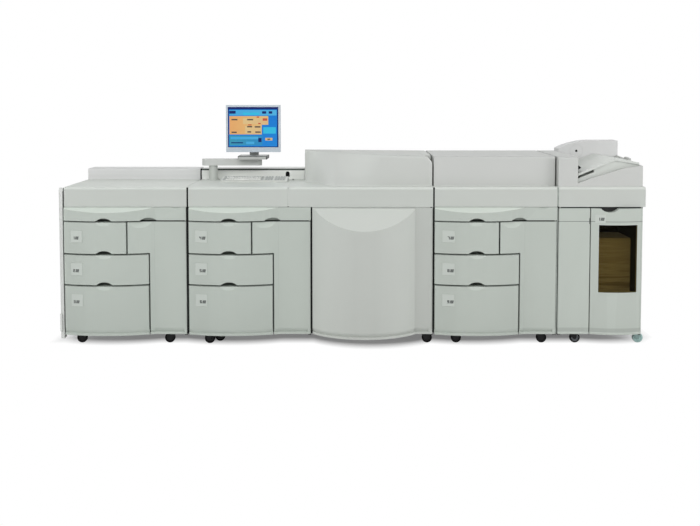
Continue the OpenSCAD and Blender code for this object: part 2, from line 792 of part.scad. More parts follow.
module monitor() {
    bezel = 14;
    back_y = station_y + 14;
    color([0.7, 0.72, 0.74]) translate([monitor_x - monitor_w / 2, back_y - monitor_t, monitor_z]) difference() {
        cube([monitor_w, monitor_t, monitor_h]);
        translate([bezel, -1, monitor_h - bezel - 290]) cube([monitor_w - 2 * bezel, 4, 290]);
    }
    for (side = [-1, 1])
        color([0.7, 0.72, 0.74]) translate([monitor_x + side * 68, 0, 0]) difference() {
            translate([-6, back_y - 1, tilt_z - 18]) cube([12, neck_y - back_y + 16, 36]);
            translate([-7, neck_y, tilt_z]) rotate([0, 90, 0]) cylinder(d = tilt_pin_d + 2 * fit, h = 14);
        }
}

module screen() {
    bezel = 14;
    back_y = station_y + 14;
    color([0.1, 0.3, 0.6]) translate([monitor_x - monitor_w / 2 + bezel, back_y - monitor_t + 1, monitor_z + monitor_h - bezel - 290])
        cube([monitor_w - 2 * bezel, 2, 290]);
}

module keyboard() {
    front_z = 14;
    rear_z = 30;
    color(light_grey) translate([177, station_y - 45 - keyboard_d, desk_z])
        rotate([90, 0, 90]) linear_extrude(keyboard_w)
        polygon([[0, 0], [keyboard_d, 0], [keyboard_d, rear_z], [0, front_z]]);
}

// ---------------------------------------------------------------- end cover, back, casters

// End cover; its front lip stands clear of the first drawers, is bevelled at the top,
// and carries a low bracket at its foot
module left_cover() {
    r = 18;
    lip_w = side_cover_t - 6;
    lip_z = 60;
    lip_back = frame_y + 30;
    bevel = 26;
    color(body_grey) translate([supply_1_x - side_cover_t, front_y, 0]) {
        translate([0, lip_back - 1, skirt_z])
            cube([side_cover_t, body_d - lip_back + 1, frame_top - skirt_z]);
        difference() {
            translate([0, 0, lip_z]) linear_extrude(desk_z - lip_z - 8) union() {
                translate([0, r]) square([lip_w, lip_back - r]);
                translate([r, 0]) square([lip_w - r, r + 1]);
                intersection() {
                    translate([r, r]) circle(r = r);
                    square([r, r]);
                }
            }
            translate([-1, 0, 0]) rotate([90, 0, 90]) linear_extrude(lip_w + 2)
                polygon([[-1, desk_z - 8 - bevel - 1], [bevel + 1, desk_z - 7], [-1, desk_z - 7]]);
        }
        translate([2, -11, 110]) cube([12, 14, 120]);
    }
}

module rear_panels() {
    m = 8;
    color(body_grey) for (mod = [[supply_1_x, supply_w], [supply_2_x, supply_w], [engine_x, engine_w], [supply_3_x, supply_w],
        [finisher_x, finisher_w]])
        translate([mod[0] + m, front_y + body_d - rear_t, base_z + 20])
            cube([mod[1] - 2 * m, rear_t, frame_top - base_z - 30]);
}

// Casters: [swivel x, set-back from the front plane, side to which the wheel trails]
caster_in = 115;
near_y = 136;
far_y = 420;
rear_y = 690;
left_pair = [[94, 118, 1], [224, 182, -1]];
last_caster = finisher_w + cap_overhang + wheel_overhang - wheel_d / 2 - caster_trail;
front_casters = concat(
    [[supply_1_x + 112, near_y, -1], [supply_1_x + supply_w - caster_in, near_y, -1]],
    [for (c = left_pair) [supply_2_x + c[0], c[1], c[2]]],
    [[supply_2_x + supply_w - caster_in, far_y, 1]],
    [[engine_x + caster_in, far_y, 1], [engine_x + engine_w - 67, near_y, 1]],
    [[supply_3_x + 133, near_y, 1], [supply_3_x + supply_w - 111, near_y, 1]],
    [[finisher_x + 119, near_y, 1], [finisher_x + last_caster, near_y, 1]]);
rear_casters = [
    [supply_1_x + caster_in, rear_y, 1], [supply_1_x + supply_w - caster_in, rear_y, -1],
    [supply_2_x + caster_in, rear_y, 1], [supply_2_x + supply_w - caster_in, rear_y, -1],
    [engine_x + caster_in, rear_y, 1], [engine_x + engine_w - caster_in, rear_y, -1],
    [supply_3_x + caster_in, rear_y, 1], [supply_3_x + supply_w - caster_in, rear_y, -1],
    [finisher_x + caster_in, rear_y, 1], [finisher_x + finisher_w - caster_in, rear_y, -1]];

module caster_fork() {
    cheek = 4;
    inner = wheel_w / 2 + 1;
    color(black) {
        translate([-28, -28, base_z - 5]) cube([56, 56, 5]);
        translate([0, 0, wheel_d + 3]) cylinder(d = 34, h = base_z - wheel_d - 4);
        translate([-17, -inner - cheek, wheel_d + 2]) cube([caster_trail + 29, 2 * inner + 2 * cheek, 5]);
        for (side = [-1, 1])
            translate([0, side * (inner + cheek / 2) + cheek / 2, 0])
                rotate([90, 0, 0]) linear_extrude(cheek) polygon([
                [-17, wheel_d + 3], [caster_trail - 9, wheel_d / 2 - 8], [caster_trail + 9, wheel_d / 2 - 8],
                [caster_trail + 12, wheel_d + 3]]);
        translate([caster_trail, inner + 1, wheel_d / 2])
            rotate([90, 0, 0]) cylinder(d = axle_d, h = 2 * inner + 2);
    }
}

module caster_wheel() {
    color(black) translate([caster_trail, wheel_w / 2, wheel_d / 2]) rotate([90, 0, 0]) difference() {
        cylinder(d = wheel_d, h = wheel_w);
        translate([0, 0, -1]) cylinder(d = axle_d + 2 * fit, h = wheel_w + 2);
    }
}

module caster_row(casters) {
    for (c = casters) translate([c[0], front_y + c[1], 0]) rotate([0, 0, c[2] < 0 ? 180 : 0]) children();
}

// ---------------------------------------------------------------- the line

place(supply_1_x) supply_frame();  // supply_1_frame
place(supply_1_x) supply_cover();  // supply_1_cover
place(supply_1_x) rear_cover(supply_w - edge);  // supply_1_rear_cover
place(supply_1_x) supply_trim(754, 87);  // supply_1_trim
place(supply_1_x) supply_drawer("top");  // supply_1_top_drawer
place(supply_1_x) supply_drawer("middle");  // supply_1_middle_drawer
place(supply_1_x) supply_drawer("bottom");  // supply_1_bottom_drawer
place(supply_1_x) supply_door();  // supply_1_door
place(supply_2_x) supply_frame();  // supply_2_frame
place(supply_2_x) color(light_grey) cover(edge, supply_w - fascia_reach - edge, body_d);  // supply_2_cover
place(supply_2_x) station_rear_cover();  // supply_2_rear_cover
place(supply_2_x) supply_trim(760, 133);  // supply_2_trim
place(supply_2_x) supply_drawer("top");  // supply_2_top_drawer
place(supply_2_x) supply_drawer("middle");  // supply_2_middle_drawer
place(supply_2_x) supply_drawer("bottom");  // supply_2_bottom_drawer
place(supply_2_x) supply_door();  // supply_2_door
place(supply_3_x) supply_frame();  // supply_3_frame
place(supply_3_x) supply_cover();  // supply_3_cover
place(supply_3_x) supply_cabinet();  // supply_3_cabinet
place(supply_3_x) supply_trim(734, 80);  // supply_3_trim
place(supply_3_x) supply_drawer("top");  // supply_3_top_drawer
place(supply_3_x) supply_drawer("middle");  // supply_3_middle_drawer
place(supply_3_x) supply_drawer("bottom");  // supply_3_bottom_drawer
place(supply_3_x) supply_door();  // supply_3_door
place(engine_x) engine_frame();
place(engine_x) engine_cover();
place(engine_x) engine_cabinet();
place(engine_x) engine_door();
place(finisher_x) finisher_frame();
place(finisher_x) finisher_cover();
place(finisher_x) narrow_door();
place(finisher_x) stacker_door();
place(finisher_x) stacker_window();
place(finisher_x) exit_column();
place(finisher_x) tray_housing();
place(finisher_x) output_tray();
place(finisher_x) arched_cover();
place(finisher_x) stacker_platform();
place(finisher_x) paper_stack();
place(supply_2_x) station_post();
place(supply_2_x) station_arm();
place(supply_2_x) monitor_stand();
place(supply_2_x) monitor();
place(supply_2_x) screen();
place(supply_2_x) keyboard();
left_cover();
rear_panels();
caster_row(front_casters) caster_fork();  // front_caster_forks
caster_row(front_casters) caster_wheel();  // front_caster_wheels
caster_row(rear_casters) caster_fork();  // rear_caster_forks
caster_row(rear_casters) caster_wheel();  // rear_caster_wheels
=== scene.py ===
import math

import bmesh
import bpy
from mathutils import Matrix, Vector


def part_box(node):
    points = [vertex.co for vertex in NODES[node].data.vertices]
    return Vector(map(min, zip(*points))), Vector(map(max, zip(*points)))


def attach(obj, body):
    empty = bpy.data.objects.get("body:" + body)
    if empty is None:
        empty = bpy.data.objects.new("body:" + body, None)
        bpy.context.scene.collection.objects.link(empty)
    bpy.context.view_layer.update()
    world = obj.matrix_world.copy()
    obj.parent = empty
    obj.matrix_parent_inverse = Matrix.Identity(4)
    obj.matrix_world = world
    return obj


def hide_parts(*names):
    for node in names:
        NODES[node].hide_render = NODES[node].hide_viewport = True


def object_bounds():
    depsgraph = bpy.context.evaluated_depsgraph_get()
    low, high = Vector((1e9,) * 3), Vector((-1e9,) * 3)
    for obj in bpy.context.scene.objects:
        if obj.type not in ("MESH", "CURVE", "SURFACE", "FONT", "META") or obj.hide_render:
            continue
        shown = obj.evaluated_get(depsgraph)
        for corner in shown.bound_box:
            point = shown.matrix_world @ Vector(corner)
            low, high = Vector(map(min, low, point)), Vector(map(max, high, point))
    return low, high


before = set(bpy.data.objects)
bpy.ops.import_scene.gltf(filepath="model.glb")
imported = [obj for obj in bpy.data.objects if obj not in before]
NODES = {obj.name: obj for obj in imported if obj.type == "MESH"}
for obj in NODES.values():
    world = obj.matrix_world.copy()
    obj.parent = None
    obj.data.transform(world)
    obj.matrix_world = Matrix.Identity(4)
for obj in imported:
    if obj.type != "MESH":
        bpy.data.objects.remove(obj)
CAD_LO, CAD_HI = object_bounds()
MM = 0.001
SUPPLIES = (1, 2, 3)
ROWS = ("top", "middle", "bottom")

# the front plane, the joint of the first two supplies and the middle of the engine
FRONT_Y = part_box("supply_1_cover")[0].y
FIRST_JOINT = (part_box("supply_1_cover")[1].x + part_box("supply_2_cover")[0].x) / 2
MIDDLE_X = (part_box("engine_frame")[0].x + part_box("engine_frame")[1].x) / 2

# ---------------------------------------------------------------- camera

CAMERA_LEFT = 0.152  # from the middle of the engine
CAMERA_BACK = 6.524  # from the front plane
CAMERA_Z = 1.7
FOCAL_MM = 50.37
PITCH_DEG = 3.5
SHIFT_Y = -0.1544
SIGHT = 60  # how far the camera sees

camera = bpy.data.objects.new("camera", bpy.data.cameras.new("camera"))
bpy.context.scene.collection.objects.link(camera)
camera.data.lens = FOCAL_MM
camera.data.shift_y = SHIFT_Y
camera.data.clip_end = SIGHT
camera.location = (MIDDLE_X - CAMERA_LEFT, FRONT_Y - CAMERA_BACK, CAMERA_Z)
camera.rotation_euler = (math.radians(90 - PITCH_DEG), 0, 0)
bpy.context.scene.camera = camera
bpy.context.scene.view_settings.view_transform = "Standard"

# ---------------------------------------------------------------- materials

PANEL = 22 * MM  # how deep the fronts are
FOOT_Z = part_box("narrow_door")[0].z + 36 * MM  # below this the edges of the fronts stay plain
LIPS = 10 * MM  # how far the black lips reach on either side of the first joint
KICK, KICK_DARK, KICK_LIT = 106 * MM, 28 * MM, 6 * MM  # pressed line drawn in paint: its height, its band of painted shade and its strip of painted highlight
MIX_A, MIX_B, MIX_RESULT = 6, 7, 2  # the colour sockets of a Mix node


def linear(rgb):
    """An sRGB colour of 0 to 255 as linear values."""
    out = []
    for v in rgb:
        c = v / 255
        out.append(c / 12.92 if c <= 0.04045 else ((c + 0.055) / 1.055) ** 2.4)
    return (*out, 1.0)


def scaled(rgba, k):
    """A linear colour made k times as bright."""
    return tuple(min(1.0, c * k) for c in rgba[:3]) + (1.0,)


PAINT = (176, 183, 176)
# painted shade for the turned edges of the fronts
TURN_SHADE = linear((108, 114, 109))
DUST = linear((116, 114, 106))
LIP_BLACK = linear((24, 27, 25))
# painted shadow of the gap along the top of supply 2's rear cover
GAP_SHADOW_GREY = linear((70, 76, 72))
GLASS_TINT = (0.71, 0.65, 0.49, 1.0)


def blended(tree, share, first, second):
    """A mix of two shader nodes, with a share of the second."""
    made = tree.nodes.new("ShaderNodeMixShader")
    if isinstance(share, float):
        made.inputs[0].default_value = share
    else:
        tree.links.new(share, made.inputs[0])
    tree.links.new(first.outputs[0], made.inputs[1])
    tree.links.new(second.outputs[0], made.inputs[2])
    return made


class Finish:
    """A node material built step by step around one Principled shader."""

    def __init__(self, name, rough=0.5, metal=0.0, shine=0.5):
        self.mat = bpy.data.materials.new(name)
        self.mat.use_nodes = True
        self.tree = self.mat.node_tree
        self.shader = self.tree.nodes["Principled BSDF"]
        self.shader.inputs["Roughness"].default_value = rough
        self.shader.inputs["Metallic"].default_value = metal
        self.shader.inputs["Specular IOR Level"].default_value = shine
        self.coord = self.tree.nodes.new("ShaderNodeTexCoord").outputs["Object"]

    def add(self, kind, values=(), **settings):
        """A new node; values are for its inputs, settings for the node itself."""
        made = self.tree.nodes.new(kind)
        for key, value in settings.items():
            setattr(made, key, value)
        for key, value in dict(values).items():
            self.feed(made.inputs[key], value)
        return made

    def feed(self, socket, value):
        if isinstance(value, bpy.types.NodeSocket):
            self.tree.links.new(value, socket)
        else:
            socket.default_value = value

    def noise(self, scale, detail=2.0, rough=0.5, stretch=None):
        """Noise in object space, stretched along an axis where its scale is small."""
        vector = self.coord
        if stretch:
            values = {"Vector": vector, "Scale": stretch}
            vector = self.add("ShaderNodeMapping", values).outputs["Vector"]
        values = {"Vector": vector, "Scale": scale, "Detail": detail, "Roughness": rough}
        return self.add("ShaderNodeTexNoise", values).outputs["Fac"]

    def math(self, operation, a, b=0.0):
        made = self.add("ShaderNodeMath", operation=operation)
        self.feed(made.inputs[0], a)
        self.feed(made.inputs[1], b)
        return made.outputs[0]

    def times(self, a, b):
        return self.math("MULTIPLY", a, b)

    def span(self, value, low, high, to_low=0.0, to_high=1.0):
        values = {"Value": value, "From Min": low, "From Max": high, "To Min": to_low, "To Max": to_high}
        return self.add("ShaderNodeMapRange", values).outputs["Result"]

    def mix(self, factor, a, b, blend="MIX"):
        made = self.add("ShaderNodeMix", data_type="RGBA", blend_type=blend)
        self.feed(made.inputs["Factor"], factor)
        self.feed(made.inputs[MIX_A], a)
        self.feed(made.inputs[MIX_B], b)
        return made.outputs[MIX_RESULT]

    def toned(self, factor, colour, k):
        """The colour, times k where the factor is 1."""
        return self.mix(factor, colour, (k, k, k, 1), "MULTIPLY")

    def axis(self, name):
        return self.add("ShaderNodeSeparateXYZ", {"Vector": self.coord}).outputs[name]

    def over(self, name, limit):
        """1 where the object coordinate is greater than the limit."""
        return self.math("GREATER_THAN", self.axis(name), limit)

    def under(self, name, limit):
        """1 where the object coordinate is less than the limit."""
        return self.math("LESS_THAN", self.axis(name), limit)

    def within(self, name, low, high):
        """1 where the object coordinate lies between low and high."""
        value = self.axis(name)
        above = self.math("GREATER_THAN", value, low)
        below = self.math("LESS_THAN", value, high)
        return self.times(above, below)

    def bump(self, height, strength, depth_mm):
        values = {"Height": height, "Strength": strength, "Distance": depth_mm * MM}
        made = self.add("ShaderNodeBump", values)
        self.tree.links.new(made.outputs["Normal"], self.shader.inputs["Normal"])

    def grain(self, strength=0.5):
        """The fine grain of a moulded cover."""
        self.bump(self.noise(520, 2, 0.5), strength, 0.12)

    def colour(self, value):
        self.feed(self.shader.inputs["Base Color"], value)

    def rough(self, value):
        self.feed(self.shader.inputs["Roughness"], value)

    def glow(self, value, strength):
        self.feed(self.shader.inputs["Emission Color"], value)
        self.shader.inputs["Emission Strength"].default_value = strength


def coat(name, rgb, rough=0.56, grime=0.02, peel=0.5, up=1.0, side=1.0, spans=(),
         dark_top=None, kick=0, inner=None, lips=0, edges=False):
    """Moulded or painted cover: uneven tone, scuffs, paler edges, a little dust near the floor, fine grain.

    up and side brighten faces that look up or sideways as painted highlights, up only within the spans along X
    if there are any. dark_top is the far side and the height of a painted shadow gap, kick the height of a
    pressed line near the floor, drawn as a band of painted shade over a strip of painted highlight, inner the
    colour behind the front panel, lips how far black lips reach on either side of the first joint; edges
    paints shade on the turn of the doors' outlines."""
    f = Finish(name, rough, shine=0.3)
    base = linear(rgb)
    broad = f.span(f.noise(1.7, 4), 0.3, 0.7)
    shade = f.mix(broad, scaled(base, 0.98), scaled(base, 1.02))
    cloud = f.span(f.noise(0.9, 2, 0.4, (1, 1, 0.5)), 0.4, 0.6)
    warm = (min(1, base[0] * 1.015), base[1] * 0.995, base[2] * 0.995, 1)
    shade = f.mix(f.times(cloud, 0.5), shade, warm)
    fleck = f.span(f.noise(420, 3, 0.7), 0.35, 0.65, 0.0, 0.05)
    shade = f.mix(fleck, shade, scaled(base, 0.75))
    edge = f.add("ShaderNodeNewGeometry").outputs["Pointiness"]
    worn = f.span(edge, 0.505, 0.54, 0.0, 0.3)
    shade = f.mix(worn, shade, scaled(base, 1.15))
    low = f.span(f.axis("Z"), 0.09, 0.5, grime, 0.0)
    shade = f.mix(f.times(low, f.span(f.noise(9, 5), 0.3, 0.7, 0.4, 1.3)), shade, DUST)
    facing = f.add("ShaderNodeSeparateXYZ", {"Vector": f.add("ShaderNodeTexCoord").outputs["Normal"]})
    # painted highlight: faces that look up are made up times as bright
    if up != 1.0:
        above = f.span(facing.outputs["Z"], 0.06, 0.7)
        if spans:
            inside = 0.0
            for low_x, high_x in spans:
                inside = f.math("ADD", inside, f.within("X", low_x, high_x))
            above = f.times(above, inside)
        shade = f.toned(above, shade, up)
    # painted highlight: faces that look sideways are made side times as bright
    if side != 1.0:
        across = f.span(f.math("ABSOLUTE", facing.outputs["X"]), 0.15, 0.75)
        shade = f.toned(across, shade, side)
    if lips:
        shade = f.mix(f.within("X", FIRST_JOINT - lips, FIRST_JOINT + lips), shade, LIP_BLACK)
    # painted shade on the turn of the doors' outlines
    if edges:
        shade = f.mix(door_edges(f), shade, TURN_SHADE)
    if inner:
        shade = f.mix(f.over("Y", FRONT_Y + PANEL), shade, linear(inner))
    # a band of painted shade over a strip of painted highlight, drawn as a pressed line near the floor
    if kick:
        shade = f.toned(f.within("Z", kick, kick + KICK_DARK), shade, 0.82)
        shade = f.toned(f.within("Z", kick - KICK_LIT, kick), shade, 1.12)
    # painted shadow of a gap along the cover's top
    if dark_top:
        gap_shadow_y, gap_shadow_z = dark_top
        shade = f.mix(f.times(f.over("Z", gap_shadow_z), f.under("Y", gap_shadow_y)), shade, GAP_SHADOW_GREY)
    f.colour(shade)
    scuff = f.span(f.noise(14, 6, 0.6, (1, 1, 5)), 0.45, 0.7)
    f.rough(f.span(scuff, 0, 1, rough - 0.05, rough + 0.13))
    f.grain(peel)
    return f.mat


def plain_finish(name, rgb, rough, metal=0.0, tone=0.1, shine=0.5):
    """One colour with a slightly uneven tone and polish."""
    f = Finish(name, rough, metal, shine)
    base = linear(rgb)
    f.colour(f.mix(f.span(f.noise(25, 4), 0.3, 0.7), scaled(base, 1 - tone), scaled(base, 1 + tone)))
    f.rough(f.span(f.noise(60, 3), 0.3, 0.7, rough - 0.06, rough + 0.08))
    f.bump(f.noise(300, 3), 0.5, 0.1)
    return f.mat


def door_edges(f):
    """1 in a narrow band along the outline of the supplies' doors and at the top of the finisher's, where shade
    is painted on the turn of the edge.
    """
    width, near = 2.6 * MM, 0.0
    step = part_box("supply_1_door")[0].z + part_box("supply_1_top_drawer")[0].z
    step -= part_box("supply_1_bottom_drawer")[0].z
    below = f.under("Z", step)
    over_step = f.within("Z", step, step + width)
    for i in SUPPLIES:
        lo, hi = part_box(f"supply_{i}_door")
        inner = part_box(f"supply_{i}_bottom_drawer")[1].x + lo.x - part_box(f"supply_{i}_top_drawer")[1].x
        for band in (f.within("X", lo.x, lo.x + width), f.within("X", hi.x - width, hi.x),
                     f.times(f.within("X", inner, inner + width), below),
                     f.times(f.within("X", lo.x, inner), over_step)):
            near = f.math("ADD", near, band)
    for name in ("supply_1_door", "narrow_door"):
        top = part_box(name)[1].z
        near = f.math("ADD", near, f.within("Z", top - width, top + MM))
    on_front = f.under("Y", FRONT_Y + PANEL)
    return f.math("MINIMUM", f.times(near, f.times(on_front, f.over("Z", FOOT_Z))), 1.0)


def edge_finish():
    """Painted shade on the turn of a drawer's edge; plain round the label and at the foot."""
    f = Finish("panel_edge_shade", 0.6, shine=0.2)
    # the field round the label, from the left and the top of a drawer
    left_mm, right_mm, top_mm, bottom_mm = 42, 138, 48, 144
    across = up = 0.0
    for i in SUPPLIES:
        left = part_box(f"supply_{i}_top_drawer")[0].x
        across = f.math("ADD", across, f.within("X", left + left_mm * MM, left + right_mm * MM))
    for row in ROWS:
        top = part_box(f"supply_1_{row}_drawer")[1].z
        up = f.math("ADD", up, f.within("Z", top - bottom_mm * MM, top - top_mm * MM))
    bare = f.math("MAXIMUM", f.times(across, up), f.under("Z", FOOT_Z))
    f.colour(f.mix(bare, TURN_SHADE, linear(PAINT)))
    f.grain()
    return f.mat


def stand_finish():
    """Pale plastic, with painted shade on the rim round the foot's plate and at the foot's ends."""
    f = Finish("stand_paint", 0.5, shine=0.3)
    lo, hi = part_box("monitor_stand")
    plate, rim, thick = lo.z + 24 * MM, 7 * MM, 5 * MM
    inner = f.times(f.within("X", lo.x + rim, hi.x - rim), f.within("Y", lo.y + rim, hi.y - rim))
    top = f.within("Z", plate - thick, plate + 1 * MM)
    sides = f.math("SUBTRACT", 1.0, f.within("X", lo.x + 3 * MM, hi.x - rim))
    border = f.times(top, f.math("SUBTRACT", 1.0, inner))
    flank = f.times(f.under("Z", plate), sides)
    tone = f.mix(f.span(f.noise(12, 3), 0.3, 0.7), linear((172, 174, 171)), linear((180, 182, 179)))
    # painted shade on the plate's rim and on the foot's ends
    f.colour(f.mix(f.math("MAXIMUM", border, flank), tone, linear((74, 77, 75))))
    f.grain()
    return f.mat


def fork_finish():
    """Black steel, and the pale plastic of the last caster."""
    f = Finish("caster_steel", 0.45, shine=0.25)
    base = linear((14, 14, 16))
    shade = f.mix(f.span(f.noise(25, 4), 0.3, 0.7), scaled(base, 0.8), scaled(base, 1.2))
    last = f.over("X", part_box("stacker_door")[0].x)
    f.colour(f.mix(last, shade, linear((140, 164, 161))))
    f.bump(f.noise(300, 3), 0.5, 0.1)
    return f.mat


def frame_finish(name, lit_from=None):
    """Folded sheet steel, near black behind the fronts as painted shade for the gaps and hollows where it shows,
    and painted beyond lit_from along X.
    """
    f = Finish(name, 0.55)
    # near black: painted shade for the gaps and hollows where the frame shows
    shade = f.mix(f.span(f.noise(18, 5), 0.35, 0.7, 0, 0.4), linear((11, 12, 11)), linear((21, 23, 22)))
    if lit_from is not None:
        shade = f.mix(f.over("X", lit_from), shade, linear((180, 186, 180)))
    f.colour(shade)
    f.rough(f.span(f.noise(60, 3), 0.3, 0.7, 0.45, 0.65))
    f.bump(f.noise(300, 3), 0.4, 0.1)
    return f.mat


def glass_finish():
    """Smoked acrylic: tinted see-through sheet under a clear polished surface."""
    f = Finish("smoked_acrylic", 0.07)
    f.colour(f.mix(f.span(f.noise(6, 2), 0.3, 0.7), linear((14, 12, 8)), linear((18, 15, 10))))
    f.rough(f.span(f.noise(30, 4), 0.3, 0.7, 0.04, 0.09))
    tint = f.add("ShaderNodeBsdfTransparent", {"Color": GLASS_TINT})
    both = blended(f.tree, 0.07, tint, f.shader)
    f.tree.links.new(both.outputs[0], f.tree.nodes["Material Output"].inputs["Surface"])
    return f.mat


def paper_finish():
    """Edges of the stacked sheets, packs of brown board in the white, with a faint painted glow in place of light
    in the chamber.
    """
    f = Finish("paper_edges", 0.85)
    sheets = f.noise(900, 2, 0.6, (0.02, 0.02, 1))
    packs = f.noise(34, 3, 0.7, (0.05, 0.05, 1))
    shade = f.mix(f.span(sheets, 0.3, 0.7), linear((168, 164, 142)), linear((202, 198, 174)))
    lower = f.span(f.axis("Z"), 0.33, 0.62, 1.0, 0.25)
    band = f.times(f.span(packs, 0.48, 0.56, 0, 0.75), lower)
    shade = f.mix(band, shade, linear((112, 100, 66)))
    f.colour(shade)
    # a faint painted glow that stands in for light in the chamber; there is no lamp there
    f.glow(shade, 0.06)
    f.bump(sheets, 0.8, 0.4)
    return f.mat


def lit_finish(name, rgb, rgb2=None, along="X", low=0.0, high=1.0):
    """A patch of the lit display: an even or graded glow under faint pixel rows."""
    f = Finish(name, 0.25, shine=0.12)
    first = linear(rgb)
    shade = first if rgb2 is None else f.mix(f.span(f.axis(along), low, high), first, linear(rgb2))
    rows = f.span(f.noise(900, 1, 0.5), 0.3, 0.7, 0.0, 0.12)
    shade = f.mix(rows, shade, scaled(first, 0.6))
    f.colour(scaled(first, 0.25))
    f.glow(shade, 0.62)
    f.rough(f.span(f.noise(40, 2), 0.3, 0.7, 0.2, 0.3))
    return f.mat


REAR_LO, REAR_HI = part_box("supply_2_rear_cover")
CAP_RISE = 15 * MM  # the caps' height over the low rear covers
OVAL_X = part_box("supply_2_frame")[0].x + 633 * MM  # the oval recess in the cover beside the station
GAP_SHADOW = (REAR_LO.y + 13 * MM, REAR_HI.z + CAP_RISE - 12 * MM)  # far side and height of the painted shadow gap along the top of supply 2's rear cover
TRIM_LIT = 0.6  # how far from its left end a trim's slope gets the painted highlight
TRIM_SPANS = [(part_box(f"supply_{i}_trim")[0].x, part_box(f"supply_{i}_trim")[0].x + TRIM_LIT) for i in SUPPLIES]
END_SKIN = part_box("finisher_frame")[1].x - 8 * MM  # the frame's painted outside

# up and side above 1 are painted highlights on faces that look up or sideways
BODY = coat("panel_paint", PAINT, up=1.2, lips=LIPS, edges=True)
DRAWER = coat("drawer_paint", PAINT, up=1.2, inner=(132, 137, 134), lips=LIPS)
EDGE_SHADE = edge_finish()
TRIM = coat("trim_paint", PAINT, up=1.42, spans=TRIM_SPANS, lips=LIPS)
LOW = coat("finisher_door_paint", (179, 186, 179), up=1.05, kick=KICK, edges=True)
DOOR = coat("wide_door_paint", (180, 184, 179), up=1.2, side=1.2)
REAR = coat("rear_cover_paint", (204, 205, 204), rough=0.6)
# supply 2's rear cover is painted lighter than REAR to offset the shade of the station over it, and has a painted
# shadow gap along its top
REAR_LIGHTENED_GAP_SHADOW = coat("rear_cover_lightened_gap_shadow", (227, 229, 225), rough=0.6, dark_top=GAP_SHADOW)
COVER = coat("cover_paint", (183, 187, 182), rough=0.62, up=1.26)
CABINET = coat("cabinet_paint", (187, 189, 186), rough=0.62)
SIDE = coat("side_paint", (204, 206, 203), rough=0.6)
ARM = coat("arm_paint", (193, 195, 192), rough=0.5, grime=0.0)
HOOD = coat("hood_paint", (190, 193, 189), rough=0.62, side=1.2)
OUTPUT = coat("output_tray_paint", (194, 198, 193), rough=0.55, up=1.12)
CARD = coat("label_card", (184, 190, 184), rough=0.42, grime=0.0, peel=0.2)
FRAME = frame_finish("frame_steel")
END_FRAME = frame_finish("end_frame_steel", END_SKIN)
GLASS = glass_finish()
PAPER = paper_finish()
STAND = stand_finish()
FORK = fork_finish()
TRAY = plain_finish("tray_plastic", (92, 95, 97), 0.55)
MONITOR = plain_finish("monitor_plastic", (184, 193, 201), 0.42, tone=0.04)
KEYBOARD = plain_finish("keyboard_plastic", (196, 199, 194), 0.5, tone=0.05)
BLACK = plain_finish("black_rubber", (10, 10, 11), 0.66, tone=0.25, shine=0.12)
SEAL = plain_finish("seal_rubber", (150, 157, 151), 0.66, tone=0.2)
TEAL = plain_finish("teal_wheel", (168, 196, 192), 0.4, tone=0.15)
HUB = plain_finish("hub_plastic", (120, 124, 128), 0.4, tone=0.15)
MARK = plain_finish("label_print", (50, 54, 53), 0.5, tone=0.15)
KEYCAP = plain_finish("key_caps", (214, 216, 212), 0.45, tone=0.05)
KEYCAP_DARK = plain_finish("key_caps_grey", (158, 163, 160), 0.45, tone=0.06)
FASTENER = plain_finish("fastener_steel", (120, 122, 122), 0.35, metal=0.8, tone=0.15)

LOOKS = {
    "finisher_frame": END_FRAME, "stacker_window": GLASS, "paper_stack": PAPER, "stacker_platform": TRAY,
    "monitor": MONITOR, "keyboard": KEYBOARD, "monitor_stand": STAND, "station_arm": ARM,
    "left_cover": SIDE, "engine_door": DOOR, "narrow_door": LOW, "stacker_door": LOW,
    "supply_2_rear_cover": REAR_LIGHTENED_GAP_SHADOW, "arched_cover": REAR, "output_tray": OUTPUT,
    "supply_3_cabinet": CABINET, "engine_cabinet": CABINET, "exit_column": CABINET, "tray_housing": CABINET,
    "front_caster_forks": FORK, "rear_caster_forks": FORK,
    "front_caster_wheels": BLACK, "rear_caster_wheels": BLACK,
}


def look_of(name):
    """The finish of a CAD node: its own, or that of its kind."""
    if name in LOOKS:
        return LOOKS[name]
    if name.endswith("_frame"):
        return FRAME
    if name.endswith("_rear_cover"):
        return REAR
    if name.endswith("cover") or name.startswith("station"):
        return COVER
    if name.endswith("_trim"):
        return TRIM
    if name.endswith("_drawer"):
        return DRAWER
    return BODY


# ---------------------------------------------------------------- pieces


def make(name, verts, faces, mats, body, slot, index=None, smooth=None):
    """A mesh piece that rides on a body; smooth is the angle in degrees above which an edge stays sharp."""
    mesh = bpy.data.meshes.new(name)
    mesh.from_pydata([tuple(v) for v in verts], [], faces)
    for mat in mats if isinstance(mats, (list, tuple)) else [mats]:
        mesh.materials.append(mat)
    if index:
        for polygon, i in zip(mesh.polygons, index):
            polygon.material_index = i
    bm = bmesh.new()
    bm.from_mesh(mesh)
    bmesh.ops.recalc_face_normals(bm, faces=bm.faces)
    bm.to_mesh(mesh)
    bm.free()
    if smooth is not None:
        for polygon in mesh.polygons:
            polygon.use_smooth = True
        mesh.set_sharp_from_angle(angle=math.radians(smooth))
    obj = bpy.data.objects.new(name, mesh)
    bpy.context.scene.collection.objects.link(obj)
    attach(obj, body)
    return obj


def bevel(obj, width_mm, segments, angle):
    """Rounds the edges that turn by more than the angle, in degrees."""
    made = obj.modifiers.new("edges", "BEVEL")
    made.width = width_mm * MM
    made.segments = segments
    made.limit_method = "ANGLE"
    made.angle_limit = math.radians(angle)


